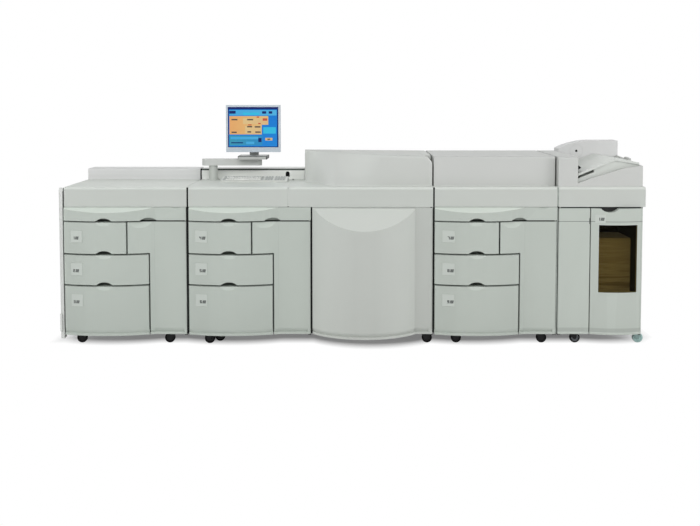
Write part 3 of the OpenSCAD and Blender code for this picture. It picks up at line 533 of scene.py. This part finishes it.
def soften(node, width_mm, edge=None):
    """Rounds a CAD node's sharp edges in the picture, in a finish of their own where one is given."""
    weld = node.modifiers.new("weld", "WELD")
    weld.merge_threshold = 0.02 * MM
    bevel(node, width_mm, 3, 50)
    if edge:
        node.data.materials.append(edge)
        node.modifiers["edges"].material = 1
        # clamping would leave most of the edge too narrow to show
        node.modifiers["edges"].use_clamp_overlap = False
    even = node.modifiers.new("even", "WEIGHTED_NORMAL")
    even.weight = 90


# a block's faces, by its corners: the lower four counted round, then the upper four
BLOCK = ((0, 1, 5, 4), (1, 2, 6, 5), (2, 3, 7, 6), (3, 0, 4, 7), (4, 5, 6, 7), (3, 2, 1, 0))


def block_faces(n):
    """The faces of a block whose first corner is vertex n."""
    return [tuple(n + corner for corner in face) for face in BLOCK]


def box_mesh(verts, faces, lo, hi):
    """Adds an upright block to lists of vertices and faces."""
    faces += block_faces(len(verts))
    for z in (lo[2], hi[2]):
        verts += [(lo[0], lo[1], z), (hi[0], lo[1], z), (hi[0], hi[1], z), (lo[0], hi[1], z)]


def ring(steps):
    """The cosine and sine of each step round a turned piece."""
    return [(math.cos(2 * math.pi * s / steps), math.sin(2 * math.pi * s / steps)) for s in range(steps)]


def tube(faces, base, rings, steps):
    """Adds the faces between rings of vertices that follow one another, and a cap at each end."""
    for k in range(rings - 1):
        p, q = base + k * steps, base + (k + 1) * steps
        for s in range(steps):
            t = (s + 1) % steps
            faces.append((p + s, p + t, q + t, q + s))
    last = base + (rings - 1) * steps
    faces.append(tuple(last + s for s in range(steps)))
    faces.append(tuple(base + s for s in range(steps)))


def solids_of(name):
    """The boxes of a node's separate solids."""
    mesh = NODES[name].data
    seen, parent = {}, []

    def root(i):
        while parent[i] != i:
            parent[i] = parent[parent[i]]
            i = parent[i]
        return i

    ids = []
    for v in mesh.vertices:
        key = tuple(round(c, 5) for c in v.co)
        if key not in seen:
            seen[key] = len(parent)
            parent.append(len(parent))
        ids.append(seen[key])
    for polygon in mesh.polygons:
        first = root(ids[polygon.vertices[0]])
        for v in polygon.vertices[1:]:
            parent[root(ids[v])] = first
    groups = {}
    for key, i in seen.items():
        lo, hi = groups.setdefault(root(i), ([math.inf] * 3, [-math.inf] * 3))
        for k in range(3):
            lo[k] = min(lo[k], key[k])
            hi[k] = max(hi[k], key[k])
    boxes = [(Vector(lo), Vector(hi)) for lo, hi in groups.values()]
    return sorted(boxes, key=lambda box: (round(box[0].x, 3), box[0].y))


class Bow:
    """The plan curve of a front: gives y at x."""

    def __init__(self, mid, chord, rise):
        self.mid, self.rise = mid, rise
        self.r = (chord * chord / 4 + rise * rise) / (2 * rise)
        self.half = chord / 2

    def y(self, x):
        d = x - self.mid
        if abs(d) >= self.half:
            return FRONT_Y
        return FRONT_Y - (math.sqrt(self.r**2 - d * d) - (self.r - self.rise))


DRAWER_CHORD = 0.650  # of the curve that runs through a supply's drawers


def drawer_bow(i):
    """The curve of a supply's drawer fronts."""
    lo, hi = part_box(f"supply_{i}_bottom_drawer")
    return Bow((lo.x + hi.x) / 2, DRAWER_CHORD, FRONT_Y - lo.y)


def door_bow(node):
    """The curve of a door that is bowed over its whole width."""
    lo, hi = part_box(node)
    return Bow((lo.x + hi.x) / 2, hi.x - lo.x, FRONT_Y - lo.y)


def patch(verts, faces, bow, x0, x1, z0, z1, out, thick, columns=1):
    """Adds a thin slab that follows a bow: its face stands out by out, and it is thick deep."""
    n = len(verts)
    for i in range(columns + 1):
        x = x0 + (x1 - x0) * i / columns
        y = bow.y(x) - out
        verts += [(x, y, z0), (x, y, z1), (x, y + thick, z1), (x, y + thick, z0)]
    for i in range(columns):
        a = n + 4 * i
        for k in range(4):
            faces.append((a + k, a + (k + 1) % 4, a + 4 + (k + 1) % 4, a + 4 + k))
    last = n + 4 * columns
    faces += [(n, n + 3, n + 2, n + 1), (last, last + 1, last + 2, last + 3)]


# seven bars of a figure, on a field 14 wide and 20 high
BARS = {"a": (0, 15.6, 14, 20), "b": (9, 10, 14, 20), "c": (9, 0, 14, 10), "d": (0, 0, 14, 4.4),
        "e": (0, 0, 5, 10), "f": (0, 10, 5, 20), "g": (0, 7.8, 14, 12.2)}
FIGURES = ("", "bc", "abged", "abgcd", "fgbc", "afgcd", "afgedc", "abc", "abcdefg", "abcfgd")
INK_OUT, INK_DEEP = 0.3 * MM, 0.5 * MM


def label(name, body, bow, x0, x1, z0, z1, lift, figure, mark_at, deep=0.8 * MM):
    """A card on a front, with a drawer's number and a small picture of stacked sheets."""
    verts, faces = [], []
    patch(verts, faces, bow, x0, x1, z0, z1, lift, deep, 10)
    make(name + "_card", verts, faces, CARD, body, "body", smooth=35)
    mx, mz = mark_at
    # left, bottom, right and top of each printed bar, in mm from the mark's corner
    bars = [BARS[bar] for bar in FIGURES[figure]]
    bars += [(17 + k, 5.3 * k, 40 + k, 5.3 * k + 4.1) for k in range(4)]
    verts, faces = [], []
    for u0, v0, u1, v1 in bars:
        patch(verts, faces, bow, mx + u0 * MM, mx + u1 * MM, mz + v0 * MM, mz + v1 * MM,
              lift + INK_OUT, INK_DEEP)
    make(name + "_print", verts, faces, MARK, body, "body")


def drawer_labels():
    """The numbered cards on the nine drawers."""
    figure = 0
    # how far right of the card's left edge the mark stands, in mm
    for i, mark_mm in zip(SUPPLIES, (14, 29, 33)):
        bow = drawer_bow(i)
        for row in ROWS:
            figure += 1
            node = f"supply_{i}_{row}_drawer"
            lo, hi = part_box(node)
            x0, z1 = lo.x + 50 * MM, hi.z - 56 * MM
            rim, size = 1 * MM, 81 * MM
            label(node, node, bow, x0 - rim, x0 + size, z1 - size, z1 + rim, 2.2 * MM, figure,
                  (x0 + mark_mm * MM, z1 - 60 * MM), deep=2.0 * MM)


def stacker_label():
    """The card over the window of the stacker door."""
    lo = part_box("stacker_door")[0]
    x0, z0 = lo.x + 26 * MM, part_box("stacker_window")[1].z + 12 * MM
    wide, high = 66 * MM, 56 * MM
    label("stacker", "stacker_door", door_bow("stacker_door"), x0, x0 + wide, z0, z0 + high, 0.7 * MM, 1,
          (x0 + 16 * MM, z0 + 18 * MM))


def window_rim():
    """The moulded rim round the window, along the door's bow."""
    bow = door_bow("stacker_door")
    lo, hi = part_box("stacker_window")
    w, out, deep = 6 * MM, 1.2 * MM, 3 * MM
    verts, faces = [], []
    sides = ((lo.x - w, hi.x + w, hi.z, hi.z + w, 24), (lo.x - w, hi.x + w, lo.z - w, lo.z, 24),
             (lo.x - w, lo.x, lo.z, hi.z, 2), (hi.x, hi.x + w, lo.z, hi.z, 2))
    for x0, x1, z0, z1, columns in sides:
        patch(verts, faces, bow, x0, x1, z0, z1, out, deep, columns)
    make("window_rim", verts, faces, CARD, "stacker_door", "body", smooth=35)


def engine_hood():
    """The engine's upper cabinet with its swept front, in place of the faceted solid."""
    lo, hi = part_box("engine_cabinet")
    x0, x1 = lo.x, hi.x
    y_near, y_back = lo.y, hi.y
    y_far = y_back - 365 * MM
    shelf = y_near + 150 * MM
    desk, roof_left, roof_right = lo.z, hi.z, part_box("supply_3_cabinet")[1].z
    back_left = roof_left - 19 * MM
    # how far right the front is swept back, at its foot and at its roof
    foot_sweep, roof_sweep = 232 * MM, 568 * MM
    columns, rows, turn = 160, 20, 5
    radius = 16 * MM
    # the rounded upper corner at the right end of the front
    corner_w, corner_h = 67 * MM, 44 * MM
    corner_r = (corner_w**2 + corner_h**2) / (2 * corner_h)

    def ease(t):
        return (1 - math.cos(math.pi * min(1, max(0, t)))) / 2

    def swept(x, sweep):
        return y_far - (y_far - y_near) * ease((x - x0) / sweep)

    def roof(x):
        z = roof_left + (roof_right - roof_left) * (x - x0) / (x1 - x0)
        d = x - (x1 - corner_w)
        return z, (z - (corner_r - math.sqrt(corner_r**2 - d * d))) if d > 0 else z

    verts, faces = [], []
    strip = rows + turn + 4
    for i in range(columns + 1):
        t = i / columns
        x = x0 + (x1 - x0) * t
        z_back, z_front = roof(x)
        foot, head = swept(x, foot_sweep), swept(x, roof_sweep)
        lean = (head - foot) / (z_back - desk)
        for k in range(rows + 1):
            z = desk + (z_front - radius - desk) * k / rows
            verts.append((x, foot + lean * (z - desk), z))
        start = verts[-1]
        for k in range(1, turn + 1):
            a = math.pi / 2 * k / turn
            rise = radius * math.sin(a)
            verts.append((x, start[1] + radius * (1 - math.cos(a)) + lean * rise, start[2] + rise))
        verts.append((x, shelf if z_front < z_back else max(head + 2 * radius, shelf), z_front))
        verts.append((x, max(verts[-1][1], head + 2 * radius) + 1 * MM, z_back))
        verts.append((x, y_back, back_left + (roof_right - back_left) * t))
    for i in range(columns):
        a, b = i * strip, (i + 1) * strip
        for k in range(strip - 1):
            faces.append((a + k, b + k, b + k + 1, a + k + 1))
    n = len(verts)
    for x in (x0, x1):
        verts.append((x, y_back, desk))
    last = columns * strip
    faces.append(tuple(range(strip)) + (n,))
    faces.append(tuple(last + k for k in range(strip)) + (n + 1,))
    faces.append((strip - 1, last + strip - 1, n + 1, n))
    faces.append(tuple(i * strip for i in range(columns + 1)) + (n + 1, n))
    hood = make("engine_hood", verts, faces, HOOD, "line", "cover", smooth=38)
    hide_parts("engine_cabinet")


def wheels(row):
    """Turned wheels with a rounded tread, a dished web and a hub cap, in place of the plain rollers."""
    node = row + "_caster_wheels"
    boxes = solids_of(node)
    # places of tread and web in the list of materials; the last two wheels of the front row differ
    looks = [(0, 1)] * len(boxes)
    if row == "front":
        looks[-2:] = [(0, 2), (3, 3)]
    steps, web_faces = 36, 5
    verts, faces, index = [], [], []
    for (lo, hi), (tread, web) in zip(boxes, looks):
        c = (lo + hi) / 2
        r, w = (hi.z - lo.z) / 2, (hi.y - lo.y) / 2
        rim, hub = r - 9 * MM, 13 * MM
        # radius and depth in the wheel's side, from the middle of the web to the tread
        half = [(0.0, 0.5 * MM), (hub - 3 * MM, 0.5 * MM), (hub, 3 * MM), (hub + 1 * MM, 6 * MM),
                (rim - 1.5 * MM, 6 * MM), (rim, 1 * MM), (r - 4 * MM, 0.0), (r - 1.2 * MM, 1.5 * MM),
                (r, 5 * MM)]
        profile = [(rr, deep - w) for rr, deep in half] + [(rr, w - deep) for rr, deep in reversed(half)]
        base, m = len(verts), len(profile)
        verts += [(c.x + rr * cos, c.y + y, c.z + rr * sin) for cos, sin in ring(steps) for rr, y in profile]
        for s in range(steps):
            p, q = base + s * m, base + (s + 1) % steps * m
            for k in range(m - 1):
                if k == 0:
                    faces.append((p, p + 1, q + 1))
                elif k == m - 2:
                    faces.append((p + k, p + k + 1, q + k))
                else:
                    faces.append((p + k, p + k + 1, q + k + 1, q + k))
                index.append(tread if web_faces <= k < m - 1 - web_faces else web)
    mats = [BLACK, FORK, HUB, TEAL]
    obj = make(row + "_wheels", verts, faces, mats, "line", "wheel", index, smooth=40)
    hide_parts(node)


WIDE_KEYS = {(0, 0, 4): 6, (0, 1, 0): 2}  # block, row and place of the space bar and the shift key: width


def keyboard_keys():
    """Tapered keys in three blocks, the outer ones grey, on the sloped keyboard."""
    lo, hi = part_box("keyboard")
    low_z = lo.z + 14 * MM
    slope = (hi.z - low_z) / (hi.y - lo.y)
    pitch, gap, x_left = 19 * MM, 3 * MM, lo.x + 14 * MM
    row_places = (0.022, 0.041, 0.060, 0.079, 0.098, 0.124)
    # where a block of keys starts and how many it has in a row, in key widths
    blocks = ((0, 15), (15.6, 3), (19.1, 4))
    verts, faces, index = [], [], []
    for r, place in enumerate(row_places):
        small = r == len(row_places) - 1
        y0 = lo.y + place
        y1 = y0 + (13 * MM if small else 16 * MM)
        for block, (start, count) in enumerate(blocks):
            k = 0
            while k < count:
                wide = WIDE_KEYS.get((block, r, k), 1)
                a = x_left + (start + k) * pitch
                b = a + wide * pitch - gap
                faces += block_faces(len(verts))
                for x, y, h in ((a, y0, 0.2), (b, y0, 0.2), (b, y1, 0.2), (a, y1, 0.2),
                                (a + 1.6 * MM, y0 + 1.2 * MM, 6), (b - 1.6 * MM, y0 + 1.2 * MM, 6),
                                (b - 1.6 * MM, y1 - 2.4 * MM, 6.6), (a + 1.6 * MM, y1 - 2.4 * MM, 6.6)):
                    verts.append((x, y, low_z + slope * (y - lo.y) + (h - 0.4) * MM))
                grey = small or block > 0 or k == 0 or k + wide >= count
                index += [1 if grey else 0] * len(BLOCK)
                k += wide
    bevel(make("keyboard_keys", verts, faces, [KEYCAP, KEYCAP_DARK], "line", "keyboard", index), 0.8, 2, 40)


def screen_picture():
    """The lit display: a generic control page of plain tiles."""
    lo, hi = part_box("screen")
    w, h = hi.x - lo.x, hi.z - lo.z
    blue = lit_finish("screen_blue", (38, 140, 226), (20, 118, 214), "Z", lo.z, hi.z)
    NODES["screen"].data.materials.clear()
    NODES["screen"].data.materials.append(blue)
    looks = {
        "navy": lit_finish("screen_navy", (22, 42, 110)),
        "sky": lit_finish("screen_sky", (70, 176, 232), (92, 190, 236), "X", lo.x, hi.x),
        "peach": lit_finish("screen_peach", (240, 176, 112), (232, 208, 138), "X", lo.x, lo.x + 0.8 * w),
        "sand": lit_finish("screen_sand", (236, 208, 150), (226, 186, 132), "X", lo.x, lo.x + 0.8 * w),
        "teal": lit_finish("screen_teal", (66, 160, 186), (40, 138, 214), "X", lo.x, lo.x + 0.7 * w),
        "ink": lit_finish("screen_ink", (96, 84, 76)),
        "red": lit_finish("screen_red", (206, 92, 70)),
        "cyan": lit_finish("screen_cyan", (60, 196, 236)),
    }
    # tile: look, left, right, bottom, top as shares of the screen, and height over the glass in mm
    tiles = [
        ("navy", 0.0, 1.0, 0.94, 1.0, 0.3), ("navy", 0.0, 0.02, 0.0, 0.94, 0.3),
        ("navy", 0.0, 1.0, 0.0, 0.02, 0.3), ("navy", 0.975, 1.0, 0.0, 0.94, 0.3),
        ("sky", 0.03, 0.965, 0.79, 0.925, 0.3), ("cyan", 0.30, 0.62, 0.80, 0.86, 0.5),
        ("peach", 0.03, 0.80, 0.56, 0.775, 0.3), ("sand", 0.30, 0.80, 0.58, 0.72, 0.5),
        ("peach", 0.03, 0.67, 0.32, 0.56, 0.3), ("sand", 0.34, 0.66, 0.34, 0.53, 0.5),
        ("cyan", 0.70, 0.95, 0.34, 0.50, 0.3), ("teal", 0.03, 0.68, 0.05, 0.29, 0.3),
        ("sky", 0.05, 0.60, 0.20, 0.26, 0.5), ("navy", 0.03, 0.155, 0.835, 0.905, 0.8),
        ("navy", 0.68, 0.76, 0.835, 0.895, 0.8), ("navy", 0.81, 0.88, 0.835, 0.895, 0.8),
        ("ink", 0.07, 0.19, 0.67, 0.705, 0.8), ("ink", 0.38, 0.50, 0.67, 0.705, 0.8),
        ("red", 0.69, 0.78, 0.66, 0.72, 0.8), ("red", 0.57, 0.62, 0.735, 0.765, 0.8),
        ("red", 0.60, 0.65, 0.575, 0.605, 0.8), ("ink", 0.38, 0.48, 0.495, 0.53, 0.8),
        ("ink", 0.53, 0.645, 0.49, 0.525, 0.8), ("red", 0.40, 0.47, 0.545, 0.57, 0.8),
        ("ink", 0.07, 0.175, 0.355, 0.39, 0.8), ("ink", 0.385, 0.46, 0.365, 0.40, 0.8),
        ("ink", 0.54, 0.65, 0.36, 0.395, 0.8), ("navy", 0.60, 0.665, 0.13, 0.23, 0.8),
        ("sand", 0.74, 0.88, 0.17, 0.235, 0.8), ("ink", 0.78, 0.84, 0.185, 0.215, 1.0),
        ("navy", 0.06, 0.30, 0.10, 0.125, 0.8), ("sky", 0.36, 0.52, 0.08, 0.14, 0.5),
    ]
    sunk = 0.2 * MM
    for look, finish in looks.items():
        verts, faces = [], []
        for kind, u0, u1, v0, v1, out in tiles:
            if kind != look:
                continue
            x0, x1, z0, z1 = lo.x + u0 * w, lo.x + u1 * w, lo.z + v0 * h, lo.z + v1 * h
            border = u1 - u0 < 0.03 or kind == "navy" and u1 - u0 > 0.9
            r = 0.1 * MM if border else min(1.5 * MM, (z1 - z0) / 3)
            outline = [(x0 + r, z0), (x1 - r, z0), (x1, z0 + r), (x1, z1 - r),
                       (x1 - r, z1), (x0 + r, z1), (x0, z1 - r), (x0, z0 + r)]
            n = len(verts)
            m = len(outline)
            verts += [(x, y, z) for y in (lo.y - out * MM, lo.y + sunk) for x, z in outline]
            faces.append(tuple(range(n, n + m)))
            faces += [(n + k, n + (k + 1) % m, n + m + (k + 1) % m, n + m + k) for k in range(m)]
        make("screen_" + look, verts, faces, finish, "monitor", "screen")


OVAL_CLEAR = 17 * MM  # the fillers of the rear caps stop this far from the oval recess


def rear_caps():
    """The rounded upper edges of the two low rear covers, and the dark gap between the covers."""
    radius, steps, skin, lap = 14 * MM, 6, 0.3 * MM, 6 * MM
    for i, finish in ((1, REAR), (2, REAR_LIGHTENED_GAP_SHADOW)):
        lo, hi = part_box(f"supply_{i}_rear_cover")
        front, back, top = lo.y - skin, hi.y - skin, hi.z + CAP_RISE
        outline = [(back, hi.z - lap), (front, hi.z - lap)]
        for k in range(steps + 1):
            a = math.pi / 2 * k / steps
            outline.append((front + radius * (1 - math.cos(a)), top - radius * (1 - math.sin(a))))
        outline.append((back, top))
        n = len(outline)
        verts = [(x, y, z) for x in (lo.x - skin, hi.x + skin) for y, z in outline]
        faces = [tuple(range(n)), tuple(range(2 * n - 1, n - 1, -1))]
        faces += [(k, (k + 1) % n, (k + 1) % n + n, k + n) for k in range(n)]
        # the cover's own rounded edge is filled up, except over the oval recess
        recess = (OVAL_X - OVAL_CLEAR, OVAL_X + OVAL_CLEAR) if i == 2 else (hi.x, hi.x)
        for x0, x1 in ((lo.x - skin, recess[0]), (recess[1], hi.x + skin)):
            if x1 - x0 > MM:
                box_mesh(verts, faces, (x0, front, hi.z - 2 * radius),
                         (x1, front + radius, hi.z - lap + 0.01 * MM))
        make(f"supply_{i}_rear_cap", verts, faces, finish, "line", "cover", smooth=35)
    left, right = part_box("supply_1_rear_cover"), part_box("supply_2_rear_cover")
    verts, faces = [], []
    box_mesh(verts, faces, (left[1].x + 0.5 * MM, right[0].y + 3 * MM, left[0].z),
             (right[0].x - 0.5 * MM, right[0].y + 30 * MM, right[1].z + CAP_RISE - 1 * MM))
    make("rear_cover_seal", verts, faces, BLACK, "line", "wheel")


def exit_shade_wedge():
    """A black wedge over the output tray beside the column, painted shade for the dark of the paper exit."""
    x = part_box("exit_column")[1].x - 1 * MM
    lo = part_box("output_tray")[0]
    ends = (lo.y + 12 * MM, lo.y + 440 * MM)
    # distance from the column and height over the tray's foot, in mm
    profile = [(0, 105), (31, 127), (0, 150)]
    verts = [(x + u * MM, y, lo.z + v * MM) for y in ends for u, v in profile]
    faces = [(0, 1, 2), (5, 4, 3), (0, 3, 4, 1), (1, 4, 5, 2), (2, 5, 3, 0)]
    make("exit_shade_wedge", verts, faces, BLACK, "line", "wheel")


def grommet():
    """A black rubber grommet in the oval recess of the cover beside the station."""
    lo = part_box("supply_2_rear_cover")[0]
    z = lo.z + 34 * MM
    steps, straight_mm = 32, 8.5
    # radius and depth in mm
    profile = [(14.2, 5.8), (14.2, -1.0), (13.2, -2.0), (10.5, -1.0), (9.5, 2.0), (2.5, 2.6)]
    verts, faces = [], []
    for r, deep in profile:
        for cos, sin in ring(steps):
            dz = straight_mm if sin >= 0 else -straight_mm
            verts.append((OVAL_X + r * cos * MM, lo.y + deep * MM, z + (r * sin + dz) * MM))
    tube(faces, 0, len(profile), steps)
    make("cover_grommet", verts, faces, BLACK, "line", "wheel", smooth=40)


def hinge_sleeve():
    """The black sleeve of the engine door's upper hinge."""
    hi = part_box("engine_door")[1]
    x, y = hi.x - 12 * MM, FRONT_Y + 12 * MM
    steps = 28
    # radius and height over the door, in mm
    profile = [(10.2, 1.1), (11.6, 1.6), (11.9, 3.4), (11.6, 5.4), (10.2, 5.9)]
    verts = [(x + r * cos * MM, y + r * sin * MM, hi.z + z * MM)
             for cos, sin in ring(steps) for r, z in profile]
    faces, m = [], len(profile)
    for s in range(steps):
        p, q = s * m, (s + 1) % steps * m
        faces += [(p + k, q + k, q + (k + 1) % m, p + (k + 1) % m) for k in range(m)]
    make("hinge_sleeve", verts, faces, BLACK, "line", "steel", smooth=40)


def arch_hole_shade():
    """A black plug in the hole of the arched cover's round cap, painted shade that darkens the hole."""
    lo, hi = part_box("arched_cover")
    x, z = lo.x + 132.5 * MM, hi.z - 76 * MM
    steps = 28
    # radius and depth in mm
    profile = [(8.6, 12.0), (8.6, 4.6), (7.6, 3.4), (3.0, 3.4), (2.2, 4.6)]
    verts = [(x + r * cos * MM, lo.y + deep * MM, z + r * sin * MM)
             for r, deep in profile for cos, sin in ring(steps)]
    faces = []
    tube(faces, 0, len(profile), steps)
    make("arch_hole_shade", verts, faces, BLACK, "line", "wheel", smooth=40)


def panel_fasteners():
    """Quarter-turn fasteners at the edges of the back panels."""
    steps, inset_x, inset_z = 16, 22 * MM, 24 * MM
    # radius and height over the panel, in mm
    profile = [(8.0, -0.4), (8.0, 0.2), (7.4, 0.4), (2.4, 0.4), (2.0, 0.1)]
    verts, faces = [], []
    for lo, hi in solids_of("rear_panels"):
        for x in (lo.x + inset_x, hi.x - inset_x):
            for z in (lo.z + inset_z, (lo.z + hi.z) / 2, hi.z - inset_z):
                tube(faces, len(verts), len(profile), steps)
                verts += [(x + r * cos * MM, hi.y + out * MM, z + r * sin * MM)
                          for r, out in profile for cos, sin in ring(steps)]
    make("panel_fasteners", verts, faces, FASTENER, "line", "steel", smooth=40)


def joint_strips():
    """The seals in the upright joints between modules, black on the front and pale on the worktops."""
    half, thick_mm, near_mm, clear_mm = 5.3 * MM, 6, 3, 36
    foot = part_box("supply_1_bottom_drawer")[0].z + 4 * MM
    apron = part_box("supply_1_cover")[0].z - 3 * MM
    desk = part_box("supply_1_cover")[1].z
    parts = {kind: ([], []) for kind in ("black", "grey", "pale")}

    def seal(kind, x, deep_mm, z0, z1, side=0):
        """A strip in the front; side is 1 or -1 for its right or left half alone."""
        y0, y1 = FRONT_Y + deep_mm * MM, FRONT_Y + (deep_mm + thick_mm) * MM
        box_mesh(*parts[kind], (x - half * (side <= 0), y0, z0), (x + half * (side >= 0), y1, z1))

    def top_strip(x, y0, z0, z1):
        """A pale strip between two worktops."""
        box_mesh(*parts["pale"], (x - half, y0, z0), (x + half, FRONT_Y + 560 * MM, z1))

    def between(left, right):
        """The middle of the joint of two neighbours."""
        return (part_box(left)[1].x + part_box(right)[0].x) / 2

    # kind, neighbours, and how deep the seal stands; beside a hinge it clears the turning edge
    joints = (("black", "supply_1_cover", "supply_2_cover", near_mm),
              ("black", "engine_cover", "supply_3_cover", clear_mm),
              ("grey", "supply_3_cover", "finisher_cover", clear_mm))
    for kind, left, right, deep_mm in joints:
        x = between(left, right)
        seal(kind, x, deep_mm, foot, apron)
        if deep_mm > near_mm:
            # in front of it a narrower strip on the side that doesn't move
            fixed = 1 if kind == "black" else -1
            seal(kind, x + 0.4 * fixed * MM, near_mm, foot, apron, fixed)
        seal(kind, x, near_mm, apron + 6 * MM, desk - 3 * MM)
        top_strip(x, FRONT_Y + 12 * MM, desk - 8 * MM, desk - 2 * MM)
    seal("black", between("supply_2_door", "engine_door"), near_mm, foot, apron)
    top_strip(between("supply_2_cover", "engine_cover"), FRONT_Y + 1.5 * MM, apron + 6 * MM, desk - 1.5 * MM)
    make("joint_seals", *parts["black"], BLACK, "line", "wheel")
    make("joint_seal_finisher", *parts["grey"], SEAL, "line", "wheel")
    lo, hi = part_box("engine_door")
    under_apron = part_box("supply_1_cover")[0].z + 0.5 * MM
    box_mesh(*parts["pale"], (lo.x, FRONT_Y + 2 * MM, hi.z + 2 * MM), (hi.x, FRONT_Y + 12 * MM, under_apron))
    make("joint_bridges", *parts["pale"], COVER, "line", "cover")


ROUNDED = ("_door", "_trim", "_cover", "_cabinet", "_housing", "_column")
for name, node in NODES.items():
    node.data.materials.clear()
    node.data.materials.append(look_of(name))
    if name.endswith("_drawer"):
        # the bevels of the drawers' edges take the finish of painted shade
        soften(node, 2.6, EDGE_SHADE)
    elif name.endswith(ROUNDED):
        soften(node, 2.0)
soften(NODES["station_arm"], 8.0)
drawer_labels()
stacker_label()
window_rim()
engine_hood()
wheels("front")
wheels("rear")
keyboard_keys()
screen_picture()
rear_caps()
exit_shade_wedge()
grommet()
hinge_sleeve()
arch_hole_shade()
panel_fasteners()
joint_strips()

# ---------------------------------------------------------------- light and floor

WHITE = (1, 1, 1, 1)
AMBIENT = 0.52
FLOOR_GREY, FLOOR_GLOW = (0.8, 0.8, 0.8, 1), 0.18
FADE_OUT, FADE_IN = 0.10, 0.27  # under the machine the floor turns from white to shaded between these


def seen_directly(tree):
    """1 for camera, glossy and transmission rays."""
    path = tree.nodes.new("ShaderNodeLightPath")
    seen = path.outputs["Is Camera Ray"]
    for kind in ("Is Glossy Ray", "Is Transmission Ray"):
        either = tree.nodes.new("ShaderNodeMath")
        either.operation = "MAXIMUM"
        tree.links.new(seen, either.inputs[0])
        tree.links.new(path.outputs[kind], either.inputs[1])
        seen = either.outputs[0]
    return seen


def background(tree, rgba, strength):
    made = tree.nodes.new("ShaderNodeBackground")
    made.inputs["Color"].default_value = rgba
    made.inputs["Strength"].default_value = strength
    return made


def light_world():
    """Even light from all round, in front of plain white."""
    world = bpy.data.worlds.new("world")
    bpy.context.scene.world = world
    world.use_nodes = True
    tree = world.node_tree
    tree.nodes.clear()
    ambient = background(tree, (0.985, 0.99, 1.0, 1), AMBIENT)
    both = blended(tree, seen_directly(tree), ambient, background(tree, WHITE, 1.0))
    out = tree.nodes.new("ShaderNodeOutputWorld")
    tree.links.new(both.outputs[0], out.inputs["Surface"])


def lamp(name, size, watts, place, aim):
    """A rectangular area lamp at a place, turned to what it aims at."""
    data = bpy.data.lights.new(name, "AREA")
    data.shape = "RECTANGLE"
    data.size, data.size_y = size
    data.energy = watts
    obj = bpy.data.objects.new(name, data)
    bpy.context.scene.collection.objects.link(obj)
    obj.location = place
    obj.rotation_euler = (Vector(aim) - Vector(place)).to_track_quat("-Z", "Y").to_euler()


def floor_mesh():
    """A floor out to the horizon, with how white it shows at each vertex."""
    fronts = [drawer_bow(i) for i in SUPPLIES] + [door_bow(node) for node in ("engine_door", "stacker_door")]
    reach, columns, end, near = 30.0, 240, 0.12, 0.01
    width = CAD_HI.x - CAD_LO.x
    xs = [-reach, CAD_LO.x - end] + [CAD_LO.x + width * i / columns for i in range(columns + 1)]
    xs += [CAD_HI.x + end, reach]
    verts, faces, fades = [], [], []
    for x in xs:
        beyond = x < CAD_LO.x - near or x > CAD_HI.x + near
        front, back = min(bow.y(x) for bow in fronts), CAD_HI.y
        rows = ((-reach, 1.0), (front + FADE_OUT, 1.0), (front + FADE_IN, 0.0),
                (back - FADE_IN, 0.0), (back - FADE_OUT, 1.0), (reach, 1.0))
        for y, white in rows:
            verts.append((x, y, 0.0))
            fades.append(1.0 if beyond else white)
    n = len(rows)
    for i in range(len(xs) - 1):
        for k in range(n - 1):
            a, b = n * i + k, n * i + n + k
            faces.append((a, b, b + 1, a + 1))
    mesh = bpy.data.meshes.new("floor")
    mesh.from_pydata(verts, [], faces)
    mesh.attributes.new("fade", "FLOAT", "POINT").data.foreach_set("value", fades)
    return mesh


def floor_finish():
    """Grey with the machine's shadow where it shows, white round about, and plain grey to the light."""
    f = Finish("floor", 0.9)
    bounce = f.add("ShaderNodeBsdfDiffuse", {"Color": FLOOR_GREY})
    shown = f.add("ShaderNodeBsdfDiffuse", {"Color": FLOOR_GREY})
    glow = f.add("ShaderNodeEmission", {"Color": WHITE, "Strength": FLOOR_GLOW})
    both = f.add("ShaderNodeAddShader")
    f.tree.links.new(shown.outputs[0], both.inputs[0])
    f.tree.links.new(glow.outputs[0], both.inputs[1])
    away = f.add("ShaderNodeAttribute", attribute_name="fade").outputs["Fac"]
    plain = f.add("ShaderNodeEmission", {"Color": WHITE, "Strength": 1.0})
    fade = blended(f.tree, away, both, plain)
    pick = blended(f.tree, seen_directly(f.tree), bounce, fade)
    f.tree.links.new(pick.outputs[0], f.tree.nodes["Material Output"].inputs["Surface"])
    f.tree.nodes.remove(f.shader)
    return f.mat


light_world()
lamp("key", (8.0, 2.4), 174, (-0.2, -5.2, 4.6), (0, -0.3, 0.6))
lamp("left", (2.0, 2.4), 54, (-5.0, -3.6, 2.6), (0, -0.2, 0.7))
lamp("right", (2.0, 2.4), 62, (5.0, -3.6, 2.6), (0, -0.2, 0.7))
lamp("back", (6.0, 2.0), 45, (0.0, 4.8, 3.4), (0, 0.3, 0.8))
floor = bpy.data.objects.new("floor", floor_mesh())
floor.data.materials.append(floor_finish())
bpy.context.scene.collection.objects.link(floor)
